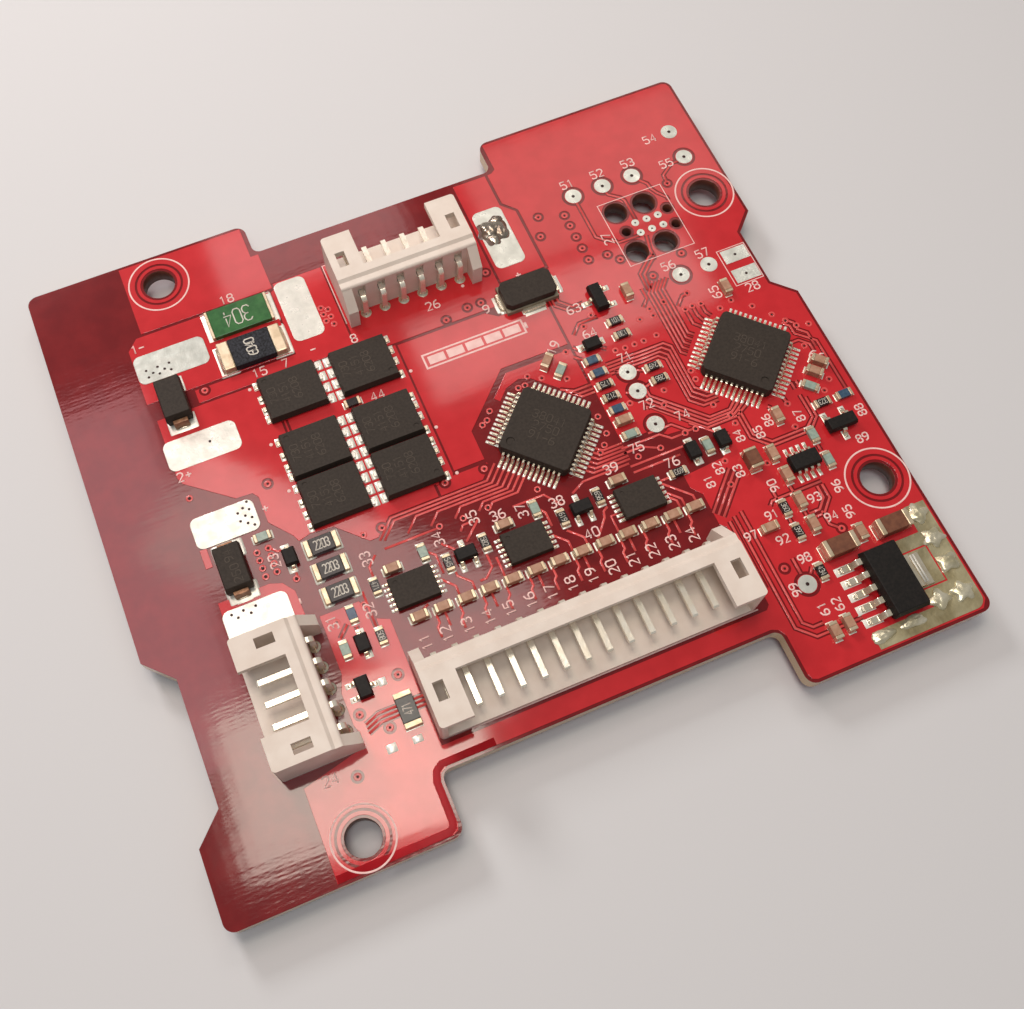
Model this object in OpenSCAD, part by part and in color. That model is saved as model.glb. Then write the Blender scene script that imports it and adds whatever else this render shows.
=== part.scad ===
// Battery management board: one circuit board with three side-entry headers,
// six power transistors, two 48-lead controllers and their small parts.
// X runs along the board, Y across it, Z up. The solder tails stand on Z = 0.

/* [Board] */
// Length of the board along X
board_w = 71; // [70:0.5:100]
// Depth of the board along Y
board_d = 64; // [63:0.5:90]
// Thickness of the laminate
board_t = 1.6; // [0.8:0.1:3.2]
// Radius of the outer corners
corner_r = 1; // [0.3:0.1:2]
// Radius that the router leaves in the inner corners
router_r = 0.8; // [0.3:0.1:1.5]

/* [Edge cut-outs] */
// Length of the cut-out in the back edge
back_cut_w = 26; // [18:0.5:30]
// How far the back cut-out reaches in
back_cut_d = 3.6; // [1:0.1:4]
// Middle of the back cut-out and of the link header
back_cut_x = 0.25; // [-1:0.05:1]
// Length of the cut-out in the front edge
front_cut_w = 32; // [26:0.5:34]
// How far the front cut-out reaches in
front_cut_d = 5.4; // [2:0.1:6]
// Middle of the front cut-out and of the cell header
front_cut_x = 1.2; // [0:0.05:2]
// Length of the inner edge of the left notch
left_notch_w = 11.8; // [6:0.1:16]
// Depth of the left notch
left_notch_d = 2.5; // [1:0.1:4]
// Middle of the left notch and of the charge header
left_notch_y = -16.4; // [-17:0.1:-16]
// Length of the inner edge of the right notch
right_notch_w = 6.3; // [3:0.1:8]
// Depth of the right notch
right_notch_d = 2; // [0.5:0.1:2.2]
// Middle of the right notch
right_notch_y = 8.4; // [7:0.1:9]

/* [Mounting holes] */
// Bore of the mounting holes, a clearance hole for M3
mount_hole_d = 3.2; // [2.2:0.1:4.3]
// Left holes, from the left edge
left_hole_in = 12.8; // [10:0.1:14]
// Back left hole, from the back edge
back_hole_in = 3.4; // [3:0.1:4]
// Front left hole, from the front edge
front_hole_in = 2.9; // [2.7:0.1:4]
// Right holes, from the right edge
right_hole_in = 3.1; // [3:0.1:4]
// Right holes, distance between them
right_hole_pitch = 34.6; // [34:0.1:36]

/* [Programming footprint] */
// Holes for the legs of the programming plug
leg_hole_d = 2.375; // [2:0.005:2.6]
// Distance between the leg holes along X
leg_pitch_x = 3.175; // [2.9:0.005:3.5]
// Distance between the leg holes along Y
leg_pitch_y = 5.08; // [4.8:0.01:5.6]
// Holes for the alignment pins
guide_hole_d = 0.99; // [0.8:0.01:1.1]
// Pitch of the contact pads
contact_pitch = 1.27; // [1:0.01:1.4]
// Diameter of a contact pad
contact_d = 0.787; // [0.5:0.01:0.9]

/* [Tinned pads] */
// Copper and tin over the laminate
pad_t = 0.08; // [0.04:0.01:0.2]
// Length of a cable pad
cable_pad_l = 7.15; // [5:0.05:7.3]
// Length of a charger cable pad
charge_pad_l = 6.1; // [5:0.05:6.6]
// Width of a cable pad
cable_pad_w = 3.2; // [2:0.05:3.4]
// Corner radius of a cable pad
cable_pad_r = 0.7; // [0.2:0.05:1]
// Diameter of a test pad
test_pad_d = 1.7; // [1:0.05:2.2]
// Hole in the middle of a test pad
test_pad_hole = 0.35; // [0.2:0.05:0.6]
// Bare rim between the heat pad and the board's edges
heat_pad_rim = 0.45; // [0.2:0.05:1]
// Width of the heat pad's strips along the edges
heat_strip_w = 2; // [1:0.1:2.3]

/* [Headers] */
// Distance between contacts
contact_step = 2; // [1.8:0.05:2.2]
// Housing beyond the outer contacts, both ends together
housing_extra = 3.9; // [3.5:0.05:4.3]
// Height of a housing
housing_h = 4.8; // [4.4:0.1:6]
// Depth of a housing without its feet
housing_d = 6.1; // [5.6:0.1:6.4]
// Thickness of the housing walls
housing_wall = 0.65; // [0.5:0.05:0.9]
// Thickness of the wall that holds the contacts
housing_rear = 1.2; // [0.9:0.1:1.6]
// Width of a guide post beside the open middle
post_w = 3; // [2.8:0.05:3.1]
// How far the open middle reaches in
throat_d = 4.2; // [3.4:0.1:4.4]
// Length of the feet behind the housing
foot_l = 1.5; // [1.1:0.1:1.9]
// Width of a foot
foot_w = 1; // [0.6:0.05:1.1]
// Height of a foot at its far end
foot_h = 2.5; // [1.5:0.1:3.5]
// Drop from the roof to the root of a foot
foot_drop = 0.5; // [0.3:0.05:0.8]
// Side of the square contact wire
wire = 0.5; // [0.4:0.05:0.64]
// Height of the contacts above the board
contact_h = 2.6; // [2.3:0.1:3]
// Contact tip, behind the mouth
tip_in = 1; // [0.5:0.1:1.5]
// Gap between the rear wall and the contact legs
leg_gap = 0.2; // [0.1:0.05:0.4]
// Length of the tails under the board
tail = 1.6; // [1:0.1:2.5]
// Drilled holes for the contacts
wire_hole_d = 0.9; // [0.85:0.05:1.1]
// Link header mouth, behind the edge of the back cut-out
link_setback = 4.4; // [4:0.1:5]
// Cell header mouth, behind the edge of the front cut-out
cell_setback = 2.4; // [1:0.1:2.6]
// Charge header mouth, behind the edge of the left notch
charge_setback = 5.5; // [4:0.1:5.6]

/* [Power transistors] */
// Body length along its leads
power_l = 5.8; // [5.4:0.1:6]
// Body width
power_w = 4.85; // [4.4:0.05:4.9]
// Body height
power_h = 1.05; // [0.8:0.05:1.3]
// Lead pitch of the power transistors and the regulator
power_pitch = 1.27; // [1.1:0.01:1.4]
// Distance between the two columns
power_columns = 7.28; // [7:0.01:7.6]

/* [Controllers] */
// Side of the square body
quad_body = 7; // [6.5:0.1:7.2]
// Body height
quad_h = 1.4; // [1:0.1:1.6]
// Leads on each side
quad_leads = 12; // [6:1:12]
// Lead pitch
quad_pitch = 0.5; // [0.4:0.01:0.53]
// Distance over the leads
quad_span = 9; // [8.6:0.1:9.4]

/* [Cell switches] */
// Body length of the three flat driver chips
driver_l = 4.1; // [3.6:0.1:4.3]
// Body width
driver_w = 3; // [2.8:0.1:3.2]
// Body height
driver_h = 0.85; // [0.6:0.05:1]
// Terminals on each side
driver_leads = 6; // [3:1:6]

/* [Regulator] */
// Body length
reg_l = 6.5; // [6.3:0.1:6.7]
// Body width
reg_w = 3.5; // [3.2:0.1:3.7]
// Body height
reg_h = 1.6; // [1.3:0.1:2]
// Distance over the leads and the tab
reg_span = 7; // [6.8:0.1:7.4]
// Width of the tab
reg_tab_w = 3.1; // [2.5:0.1:3.3]

/* [Small chips] */
// Length of a small chip
chip_l = 1.6; // [1.3:0.05:1.7]
// Width of a small chip
chip_w = 0.8; // [0.6:0.05:0.9]
// Height of a small resistor
chip_h = 0.45; // [0.3:0.05:0.6]
// Height of a small capacitor
cap_h = 0.8; // [0.5:0.05:0.9]
// Length of the metal ends
chip_end = 0.3; // [0.15:0.05:0.4]
// Pitch of the row of cell capacitors
cell_cap_pitch = 2.25; // [2.1:0.01:2.3]
// Length of a large chip
large_l = 3.2; // [2.8:0.05:3.3]
// Width of a large chip
large_w = 1.6; // [1.3:0.05:1.7]

/* [Shunts, diodes and fuse] */
// Length of a shunt
shunt_l = 6.4; // [6:0.1:6.6]
// Width of a shunt
shunt_w = 3.15; // [2.8:0.05:3.2]
// Length of a clamp diode's body
clamp_l = 4.3; // [4:0.1:4.5]
// Width of a clamp diode's body
clamp_w = 2.6; // [2.3:0.1:2.8]
// Top of a clamp diode above the board
clamp_h = 2.1; // [1.8:0.1:2.4]
// Length of the fuse's base
fuse_l = 5.5; // [5:0.1:5.8]
// Width of the fuse's base
fuse_w = 3.2; // [2.8:0.1:3.4]

/* [Hidden] */
$fn = 32;
// Overshoot of a cutting tool past the face it cuts
over = 0.5;

// Heights and edges of the board
top_z = tail + board_t;
right_x = board_w/2;
left_x = -right_x;
back_y = board_d/2;
front_y = -back_y;
back_cut_y = back_y - back_cut_d;
front_cut_y = front_y + front_cut_d;
left_notch_x = left_x + left_notch_d;
right_notch_x = right_x - right_notch_d;

// Mounting holes as [x, y]
mount_holes = [
    [left_x + left_hole_in, back_y - back_hole_in],
    [left_x + left_hole_in, front_y + front_hole_in],
    [right_x - right_hole_in, right_hole_pitch/2],
    [right_x - right_hole_in, -right_hole_pitch/2]
];

// Programming footprint: middle of its contacts, and its holes round it
plug_at = [25.5, 16.05];
leg_x = [-2*contact_pitch, leg_pitch_x - 2*contact_pitch];
guide_holes = [[-2*contact_pitch, 0], [2*contact_pitch, 1.016], [2*contact_pitch, -1.016]];

// Headers as [x, y, turn]; a header's own frame has its mouth at Y = 0, facing -Y
cell_ways = 14;
link_ways = 6;
charge_ways = 5;
cell_at = [front_cut_x, front_cut_y + cell_setback, 0];
link_at = [back_cut_x, back_cut_y - link_setback, 180];
charge_at = [left_notch_x + charge_setback, left_notch_y, -90];
leg_y = housing_d + leg_gap + wire/2;
// Step along the back of the roof, the rounded edges, and the latch windows in the posts
roof_t = 0.7;
roof_step = 0.25;
roof_step_in = 0.75;
roof_slope = 0.3;
back_edge_r = 0.3;
post_r = 0.35;
window_w = 0.95;
window_l = 1.7;
window_side = 0.75;
window_in = 2.1;
wire_clear = 0.04;
wire_bend = 0.55;
// Solder round a contact: the cone under the board and the ring on it
solder_cone_h = 0.8;
solder_cone_rim = 0.35;
solder_ring_h = 0.25;
solder_ring_rim = 0.25;

// Pads as [x, y, turn]
cable_pads_at = [[-24.1, 19.8, 0], [-24.1, 9.9, 0], [-10.7, 20.5, 90], [10.75, 20.5, 90]];
charge_pads_at = [[-24.6, 1.55, 0], [-24.6, -8, 0]];
test_pads_at = [
    [19.8, 22.1], [23.1, 22.1], [26.45, 22.1], [32.5, 25.65], [32.5, 22.15], [25.7, 9.35],
    [28.8, 9.35], [16.05, 1.5], [16.05, -0.7], [16.05, -4.5], [21.45, -23.85]
];
select_pads_at = [[31.75, 9.4], [31.75, 7]];
select_pad = [2.65, 1.55];

// Power transistors: middle of the block and the rows above it
power_x = -10.74;
power_rows = [11.8, 5.37, 0.27];
power_foot = 0.35;
power_foot_t = 0.25;
power_foot_w = 0.45;

// Controllers as [x, y], each turned by 45 degrees
monitor_at = [6, -1.45];
processor_at = [27.05, -1.4];
quad_turn = 45;
quad_lift = 0.1;
quad_lead_w = 0.22;
quad_lead_t = 0.14;

// Flat driver chips as [x, y], and the bus chip
drivers_at = [[-10.9, -10.8], [0, -10.8], [11.3, -10.8]];
driver_pitch = 0.5;
bus_at = [26.85, -13.3];
bus_l = 2.9;
bus_w = 1.6;
bus_h = 0.95;
bus_pitch = 0.65;
bus_span = 3;

// Regulator group, measured from the front right corner of the board
reg_at = [right_x - 7.2, front_y + 5.5];
reg_leads = 5;
reg_lead_w = 0.6;
reg_lead_t = 0.25;
heat_right = right_x - heat_pad_rim;
heat_front = front_y + heat_pad_rim;
heat_left = reg_at[0] - 3.9;
heat_back = reg_at[1] + 5.7;
bar_left = reg_at[0] + reg_w/2 + 0.6;
window_back = reg_at[1] + 1.9;
window_front = reg_at[1] - 1.8;
heat_dabs = [
    [heat_right - 1.15, heat_back - 1], [heat_right - 1.1, heat_back - 3.5],
    [heat_right - 1.1, heat_back - 6], [heat_right - 1.35, heat_front + 1.85],
    [heat_right - 3.65, heat_front + 1.95]
];
heat_runs = [[heat_left + 0.85, heat_front + 0.95], [heat_left + 3.9, heat_front + 1.05]];

// Shunts, clamp diodes and fuse as [x, y]
film_shunt_at = [-16.45, 21.75];
metal_shunt_at = [-16.45, 17.75];
film_shunt_h = 0.6;
metal_shunt_h = 0.9;
clamps_at = [[-25.15, 14.95], [-25.2, -3.2]];
fuse_at = [10.7, 13.25];
fuse_base_h = 0.55;
fuse_h = 1.4;

// Chips as [x, y, turn]
cell_caps = 13;
cell_cap_shift = 0.85;
cell_cap_x = front_cut_x + cell_cap_shift - (cell_caps - 1)/2*cell_cap_pitch;
cell_cap_y = -13.45;
small_caps_at = [
    [-12.05, -8.4, 0], [-1.2, -8.4, 0], [10.15, -8.4, 0], [19.8, 9.55, 90], [28.95, 6.2, 90],
    [9.3, 5.4, 45], [33.35, -4.6, -45], [32.35, -5.45, -45], [26.85, -8.2, 90],
    [24.55, -11.5, 90], [24.75, -13.9, 90], [24.6, -16.6, 90], [24.6, -19.1, 90],
    [20.8, -17.9, 0], [22.9, -28.4, 90], [21.45, -28.6, 90], [13.4, -3.1, 0],
    [reg_at[0] - 0.15, reg_at[1] + 5.1, 90]
];
black_resistors_at = [
    [17.3, 7, 0], [17.3, 5.4, 0], [13.4, 1.05, 0], [13.4, -0.35, 0], [18.5, 1.05, 0],
    [18.5, -0.4, 0], [31.5, -8.6, 0], [23.05, -16.7, 90], [23.05, -19.2, 90], [23.1, -23.3, 90],
    [-14.05, -9.35, 90], [-15.2, -13.8, 90], [-7.2, -9.8, 90], [-3.45, -9.25, 90],
    [4.05, -9.8, 90], [7.9, -9.15, 90], [15.75, -9.8, 0]
];
blue_resistors_at = [
    [13.4, 3.9, 0], [13.4, 2.45, 0], [13.4, -1.75, 0], [33.8, -8.6, 0], [-16.9, -10.95, 90]
];
grey_resistors_at = [
    [13.4, -4.6, 0], [10.15, 4.1, 45], [31.3, -6.6, -45], [19.5, -8.4, 90], [29, -11.2, 90],
    [29.1, -14, 90], [-21.85, -1, 0], [-18.55, -13.75, 90], [-8.95, -8, 90], [2.05, -8, 90]
];
thermistor_at = [-9.5, 8.6, 0];
large_caps_at = [
    [reg_at[0] - 2.7, reg_at[1] + 4.6, 0], [reg_at[0] + 2.7, reg_at[1] + 4.6, 0]
];
middle_cap_at = [22.5, -11.4, 90];
middle_cap = [2, 1.25, 1.2];
large_cap_h = 1.3;
power_resistors_at = [[-17.1, -3.8, 0], [-17.1, -6.2, 0], [-17.1, -8.6, 0], [-15.45, -20.7, 90]];
large_end = 0.5;

// Small diodes as [x, y, turn]; small transistors turn their single lead to +Y
small_diodes_at = [
    [14.1, 5.45, 0], [-20.15, -3.85, 90], [-16.95, -13.8, 90], [17.9, -8.4, 90], [21, -8.4, 90]
];
small_diode = [1.7, 1.25, 0.9];
small_diode_span = 2.5;
wide_transistors_at = [[16.8, 9.9, 90], [31.9, -11.2, 180]];
narrow_transistors_at = [[-5.45, -9.65, 0], [5.95, -9.6, 0], [-18.25, -17.5, -90]];
wide_transistor = [2.9, 1.3, 1];
narrow_transistor = [2, 1.25, 0.9];
small_lead_t = 0.15;

module on_board(at) {
    translate([at[0], at[1], top_z]) rotate(len(at) > 2 ? at[2] : 0) children();
}

// A square corner less its quarter circle: cut from an outer corner, added to an inner one
module corner(at, turn, r) {
    translate(at) rotate(turn) difference() {
        translate([-over, -over]) square(r + over);
        translate([r, r]) circle(r);
    }
}

module board_outline() {
    bc = [back_cut_x - back_cut_w/2, back_cut_x + back_cut_w/2];
    fc = [front_cut_x - front_cut_w/2, front_cut_x + front_cut_w/2];
    ln = left_notch_w/2;
    rn = right_notch_w/2;
    difference() {
        polygon([
            [left_x, front_y], [fc[0], front_y], [fc[0], front_cut_y],
            [fc[1], front_cut_y], [fc[1], front_y], [right_x, front_y],
            [right_x, right_notch_y - rn - right_notch_d], [right_notch_x, right_notch_y - rn],
            [right_notch_x, right_notch_y + rn], [right_x, right_notch_y + rn + right_notch_d],
            [right_x, back_y], [bc[1], back_y], [bc[1], back_cut_y], [bc[0], back_cut_y],
            [bc[0], back_y], [left_x, back_y], [left_x, left_notch_y + ln + left_notch_d],
            [left_notch_x, left_notch_y + ln], [left_notch_x, left_notch_y - ln],
            [left_x, left_notch_y - ln - left_notch_d]
        ]);
        for (x = [left_x, fc[1]]) corner([x, front_y], 0, corner_r);
        for (x = [right_x, fc[0]]) corner([x, front_y], 90, corner_r);
        for (x = [right_x, bc[0]]) corner([x, back_y], 180, corner_r);
        for (x = [left_x, bc[1]]) corner([x, back_y], 270, corner_r);
    }
    corner([bc[0], back_cut_y], 0, router_r);
    corner([bc[1], back_cut_y], 90, router_r);
    corner([fc[1], front_cut_y], 180, router_r);
    corner([fc[0], front_cut_y], 270, router_r);
}

// Children stand at each contact leg of a header
module at_contacts(at, ways) {
    on_board(at)
        for (i = [0 : ways - 1])
            translate([(i - (ways - 1)/2)*contact_step, leg_y, 0]) children();
}

module at_all_contacts() {
    at_contacts(cell_at, cell_ways) children();
    at_contacts(link_at, link_ways) children();
    at_contacts(charge_at, charge_ways) children();
}

module board_drill(d) {
    translate([0, 0, -board_t - over]) cylinder(h = board_t + 2*over, d = d);
}

module circuit_board() {
    color([0.76, 0.11, 0.14]) difference() {
        translate([0, 0, tail]) linear_extrude(board_t) board_outline();
        for (p = mount_holes) on_board(p) board_drill(mount_hole_d);
        for (x = leg_x, y = [-leg_pitch_y/2, leg_pitch_y/2])
            on_board(plug_at + [x, y]) board_drill(leg_hole_d);
        for (p = guide_holes) on_board(plug_at + p) board_drill(guide_hole_d);
        at_all_contacts() board_drill(wire_hole_d);
    }
}

module tin() {
    color([0.86, 0.86, 0.83]) children();
}

module round_pad(l, w, r) {
    linear_extrude(pad_t) difference() {
        square([l, w], center = true);
        for (k = [0 : 3]) {
            at = [[-l/2, -w/2], [l/2, -w/2], [l/2, w/2], [-l/2, w/2]][k];
            corner(at, 90*k, r);
        }
    }
}

module cable_pads() {
    tin() {
        for (p = cable_pads_at) on_board(p) round_pad(cable_pad_l, cable_pad_w, cable_pad_r);
        for (p = charge_pads_at) on_board(p) round_pad(charge_pad_l, cable_pad_w, cable_pad_r);
    }
}

module test_pads() {
    tin() for (p = test_pads_at) on_board(p) difference() {
        cylinder(h = pad_t, d = test_pad_d);
        translate([0, 0, -over]) cylinder(h = pad_t + 2*over, d = test_pad_hole);
    }
}

module contact_pads() {
    tin() for (i = [-1 : 1], j = [-0.5, 0.5])
        on_board(plug_at + [i*contact_pitch, j*contact_pitch]) cylinder(h = pad_t, d = contact_d);
}

module select_pads() {
    tin() for (p = select_pads_at)
        on_board(p) translate([-select_pad[0]/2, -select_pad[1]/2, 0])
            cube([select_pad[0], select_pad[1], pad_t]);
}

// Tinned copper along the corner, with two bars beside the regulator's tab
module heat_pad() {
    tin() translate([0, 0, top_z]) linear_extrude(pad_t) difference() {
        union() {
            translate([heat_left, heat_front]) square([heat_right - heat_left, heat_strip_w - 0.4]);
            translate([heat_right - heat_strip_w, heat_front])
                square([heat_strip_w, heat_back - heat_front]);
            translate([bar_left, window_back])
                square([heat_right - heat_strip_w - bar_left + 0.1, 1.25]);
            translate([bar_left, heat_front + 0.1])
                square([heat_right - heat_strip_w - bar_left + 0.1,
                        window_front - heat_front - 0.1]);
        }
        corner([heat_right, heat_front], 90, corner_r);
    }
}

module tab_pad() {
    gap = 0.15;
    x0 = bar_left;
    tin() translate([x0, window_front + gap, top_z])
        cube([heat_right - heat_strip_w - gap - x0, window_back - window_front - 2*gap, pad_t]);
}

// A profile drawn in Y and Z becomes a bar of width w, centred on X = 0
module along_x(w) {
    rotate([90, 0, 90]) translate([0, 0, -w/2]) linear_extrude(w) children();
}

// Side of a housing: the roof slopes down to a lower strip with a rounded edge
module housing_profile() {
    step_z = housing_h - roof_step;
    difference() {
        polygon([
            [0, 0], [housing_d, 0], [housing_d, step_z], [housing_d - roof_step_in, step_z],
            [housing_d - roof_step_in - roof_slope, housing_h], [0, housing_h]
        ]);
        corner([housing_d, step_z], 180, back_edge_r);
    }
}

// A foot braces the rear wall and slopes down to its far end
module foot_profile() {
    root = housing_d - housing_rear/2;
    polygon([
        [root, 0], [housing_d + foot_l, 0], [housing_d + foot_l, foot_h],
        [housing_d, housing_h - foot_drop], [root, housing_h - foot_drop]
    ]);
}

// Side-entry shroud: mouth at Y = 0 facing -Y, latch posts beside an open throat
module housing(ways) {
    w = (ways - 1)*contact_step + housing_extra;
    difference() {
        union() {
            along_x(w) housing_profile();
            for (x = [(foot_w - w)/2, (w - foot_w)/2]) translate([x, 0, 0]) along_x(foot_w) foot_profile();
        }
        for (x = [-w/2, w/2])
            translate([0, 0, -over]) linear_extrude(housing_h + 2*over)
                corner([x, 0], x < 0 ? 0 : 90, post_r);
        translate([-w/2 + housing_wall, -over, housing_wall])
            cube([w - 2*housing_wall, housing_d - housing_rear + over,
                  housing_h - housing_wall - roof_t]);
        translate([-w/2 + post_w, -over, housing_wall])
            cube([w - 2*post_w, throat_d + over, housing_h]);
        for (x = [-w/2 + window_side, w/2 - window_side - window_w])
            translate([x, window_in, housing_h - roof_t - over])
                cube([window_w, window_l, roof_t + 2*over]);
        for (i = [0 : ways - 1])
            translate([(i - (ways - 1)/2)*contact_step, 0, 0]) {
                translate([-wire/2 - wire_clear, housing_d - housing_rear - over,
                           contact_h - wire/2 - wire_clear])
                    cube([wire + 2*wire_clear, housing_rear + 2*over, wire + 2*wire_clear]);
                translate([-wire*0.8, housing_d - housing_rear*0.4, contact_h])
                    cube([wire*1.6, housing_rear, housing_h - contact_h - roof_t]);
            }
    }
}

// A bent square wire: level in the mouth, then down through the board
module contact() {
    side = wire/2;
    along_x(wire) {
        difference() {
            translate([-leg_y + tip_in, contact_h - side]) square([leg_y - tip_in + side, wire]);
            translate([side - wire_bend, contact_h + side - wire_bend]) difference() {
                square(wire_bend + over);
                circle(wire_bend);
            }
            for (k = [0, 1])
                translate([-leg_y + tip_in, contact_h + (k == 0 ? side : -side)])
                    rotate(45) square(wire*0.4, center = true);
        }
        translate([-side, -top_z]) square([wire, top_z + contact_h - side]);
    }
}

module header(at, ways) {
    color([0.93, 0.9, 0.84]) on_board(at) housing(ways);
}

module contacts(at, ways) {
    color([0.85, 0.83, 0.78]) at_contacts(at, ways) contact();
}

module cell_header_housing() { header(cell_at, cell_ways); }
module cell_header_contacts() { contacts(cell_at, cell_ways); }
module link_header_housing() { header(link_at, link_ways); }
module link_header_contacts() { contacts(link_at, link_ways); }
module charge_header_housing() { header(charge_at, charge_ways); }
module charge_header_contacts() { contacts(charge_at, charge_ways); }

// Solder round each contact: a cone under the board, and a low ring on it that stops at the housing
module header_solder() {
    cone_h = min(solder_cone_h, tail*0.6);
    ring_d = wire_hole_d + 2*solder_ring_rim;
    cut = ring_d + over;
    tin() at_all_contacts() difference() {
        union() {
            translate([0, 0, -board_t]) rotate([180, 0, 0])
                cylinder(h = cone_h, d1 = wire_hole_d + 2*solder_cone_rim, d2 = wire*1.5);
            cylinder(h = solder_ring_h, d1 = ring_d, d2 = wire*1.5);
        }
        translate([-wire/2, -wire/2, -board_t - cone_h - over])
            cube([wire, wire, board_t + cone_h + solder_ring_h + 2*over]);
        translate([-cut/2, -leg_gap - wire/2 - cut, -over]) cube([cut, cut, solder_ring_h + 2*over]);
    }
}

// A moulded body: widest at its parting line, with draft above and below it
module moulded(size, part_z, draft) {
    l = size[0]/2;
    w = size[1]/2;
    intersection() {
        rotate([90, 0, 0]) translate([0, 0, -w]) linear_extrude(2*w)
            polygon([[-l + draft, 0], [l - draft, 0], [l, part_z], [l - draft, size[2]],
                     [-l + draft, size[2]], [-l, part_z]]);
        along_x(2*l)
            polygon([[-w + draft, 0], [w - draft, 0], [w, part_z], [w - draft, size[2]],
                     [-w + draft, size[2]], [-w, part_z]]);
    }
}

// A gull-wing lead: out of the body at X = 0, height z, down to a foot that ends at reach
module gull_lead(reach, z, w, t) {
    foot = reach*0.5;
    knee = reach*0.25;
    rotate([90, 0, 0]) translate([0, 0, -w/2]) linear_extrude(w)
        polygon([[0, z - t/2], [knee - t/4, z - t/2], [reach - foot - t/4, t*0.35],
                 [reach - foot + t/4, 0], [reach, 0], [reach, t], [reach - foot + t/2, t],
                 [knee + t/2, z + t/4], [knee, z + t/2], [0, z + t/2]]);
}

// Flat terminals along one side, n of them, reaching out of the body at X = 0
module flat_leads(n, pitch, reach, w, t) {
    for (i = [0 : n - 1])
        translate([0, (i - (n - 1)/2)*pitch - w/2, 0]) cube([reach, w, t]);
}

module dark(tone) {
    color([tone, tone, tone*0.98]) children();
}

// Power transistors stand in two columns, sources outwards
module at_power() {
    for (y = power_rows) {
        on_board([power_x - power_columns/2, y, 180]) children();
        on_board([power_x + power_columns/2, y, 0]) children();
    }
}

module power_transistors() {
    dark(0.2) at_power() difference() {
        moulded([power_l, power_w, power_h], power_foot_t, 0.15);
        translate([power_l/2 - 0.7, -power_w/2 + 0.7, power_h - 0.06]) cylinder(h = over, d = 0.5);
    }
}

module power_transistor_leads() {
    tin() at_power() translate([power_l/2, 0, 0])
        flat_leads(4, power_pitch, power_foot, power_foot_w, power_foot_t);
}

module power_transistor_drains() {
    tin() at_power() rotate(180) translate([power_l/2, 0, 0])
        flat_leads(4, power_pitch, power_foot, power_foot_w*1.3, power_foot_t);
}

// Square controllers with leads on four sides
module quad_chip(at, dimple) {
    cut = quad_body/sqrt(2) - 0.35;
    dark(0.22) on_board([at[0], at[1], quad_turn]) translate([0, 0, quad_lift]) difference() {
        intersection() {
            moulded([quad_body, quad_body, quad_h], quad_h/2, 0.12);
            rotate(45) translate([-cut, -cut, -over]) cube([2*cut, 2*cut, quad_h + 2*over]);
        }
        rotate(dimple) translate([quad_body/2 - 1, quad_body/2 - 1, quad_h - 0.12])
            cylinder(h = over, d = 0.8);
    }
}

module quad_chip_leads(at) {
    tin() on_board([at[0], at[1], quad_turn])
        for (side = [0 : 3], i = [0 : quad_leads - 1])
            rotate(90*side)
                translate([quad_body/2, (i - (quad_leads - 1)/2)*quad_pitch, 0])
                    gull_lead((quad_span - quad_body)/2, quad_lift + quad_h/2, quad_lead_w,
                              quad_lead_t);
}

module monitor_chip() { quad_chip(monitor_at, 90); }
module monitor_chip_leads() { quad_chip_leads(monitor_at); }
module processor_chip() { quad_chip(processor_at, 180); }
module processor_chip_leads() { quad_chip_leads(processor_at); }

module driver_chips() {
    dark(0.25) for (p = drivers_at) on_board(p) difference() {
        moulded([driver_l, driver_w, driver_h], driver_h/2, 0.04);
        translate([-driver_l/2 + 0.6, driver_w/2 - 0.6, driver_h - 0.05])
            cylinder(h = over, d = 0.4);
    }
}

module driver_chip_leads() {
    tin() for (p = drivers_at, turn = [0, 180])
        on_board([p[0], p[1], turn]) translate([driver_l/2, 0, 0])
            flat_leads(driver_leads, driver_pitch, 0.3, 0.24, 0.2);
}

module bus_chip() {
    dark(0.2) on_board(bus_at) translate([0, 0, quad_lift])
        moulded([bus_l, bus_w, bus_h], bus_h/2, 0.1);
}

module bus_chip_leads() {
    tin() for (turn = [90, -90], i = [-1.5 : 1.5])
        on_board([bus_at[0], bus_at[1], turn]) translate([bus_w/2, i*bus_pitch, 0])
            gull_lead((bus_span - bus_w)/2, quad_lift + bus_h/2, 0.28, small_lead_t);
}

module regulator() {
    dark(0.16) on_board(reg_at) translate([0, 0, pad_t])
        moulded([reg_w, reg_l, reg_h], reg_h/2, 0.2);
}

module regulator_leads() {
    tin() on_board([reg_at[0], reg_at[1], 180])
        for (i = [0 : reg_leads - 1])
            translate([reg_w/2, (i - (reg_leads - 1)/2)*power_pitch, 0])
                gull_lead((reg_span - reg_w)/2, pad_t + reg_h/2, reg_lead_w, reg_lead_t);
}

module regulator_tab() {
    tin() on_board(reg_at) translate([reg_w/2, 0, pad_t])
        gull_lead((reg_span - reg_w)/2, reg_h/2, reg_tab_w, reg_lead_t);
}

// A low dome of solder, r across its foot and h high
module dab(r, h) {
    ball = (r*r + h*h)/(2*h);
    intersection() {
        translate([0, 0, h - ball]) sphere(r = ball);
        translate([-r, -r, 0]) cube([2*r, 2*r, h]);
    }
}

module heat_pad_solder() {
    tin() {
        for (p = heat_dabs) on_board(p) translate([0, 0, pad_t]) dab(0.75, 0.45);
        for (p = heat_runs, dx = [-0.35, 0.35])
            on_board(p + [dx, 0]) translate([0, 0, pad_t]) dab(0.6, 0.3);
    }
}

// The middle of a chip, between its two metal ends
module chip_core(size, end) {
    translate([-size[0]/2 + end, -size[1]/2, 0]) cube([size[0] - 2*end, size[1], size[2]]);
}

module chip_cap_ends(size, end) {
    for (x = [-size[0]/2, size[0]/2 - end])
        translate([x, -size[1]/2, 0]) cube([end, size[1], size[2]]);
}

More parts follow.
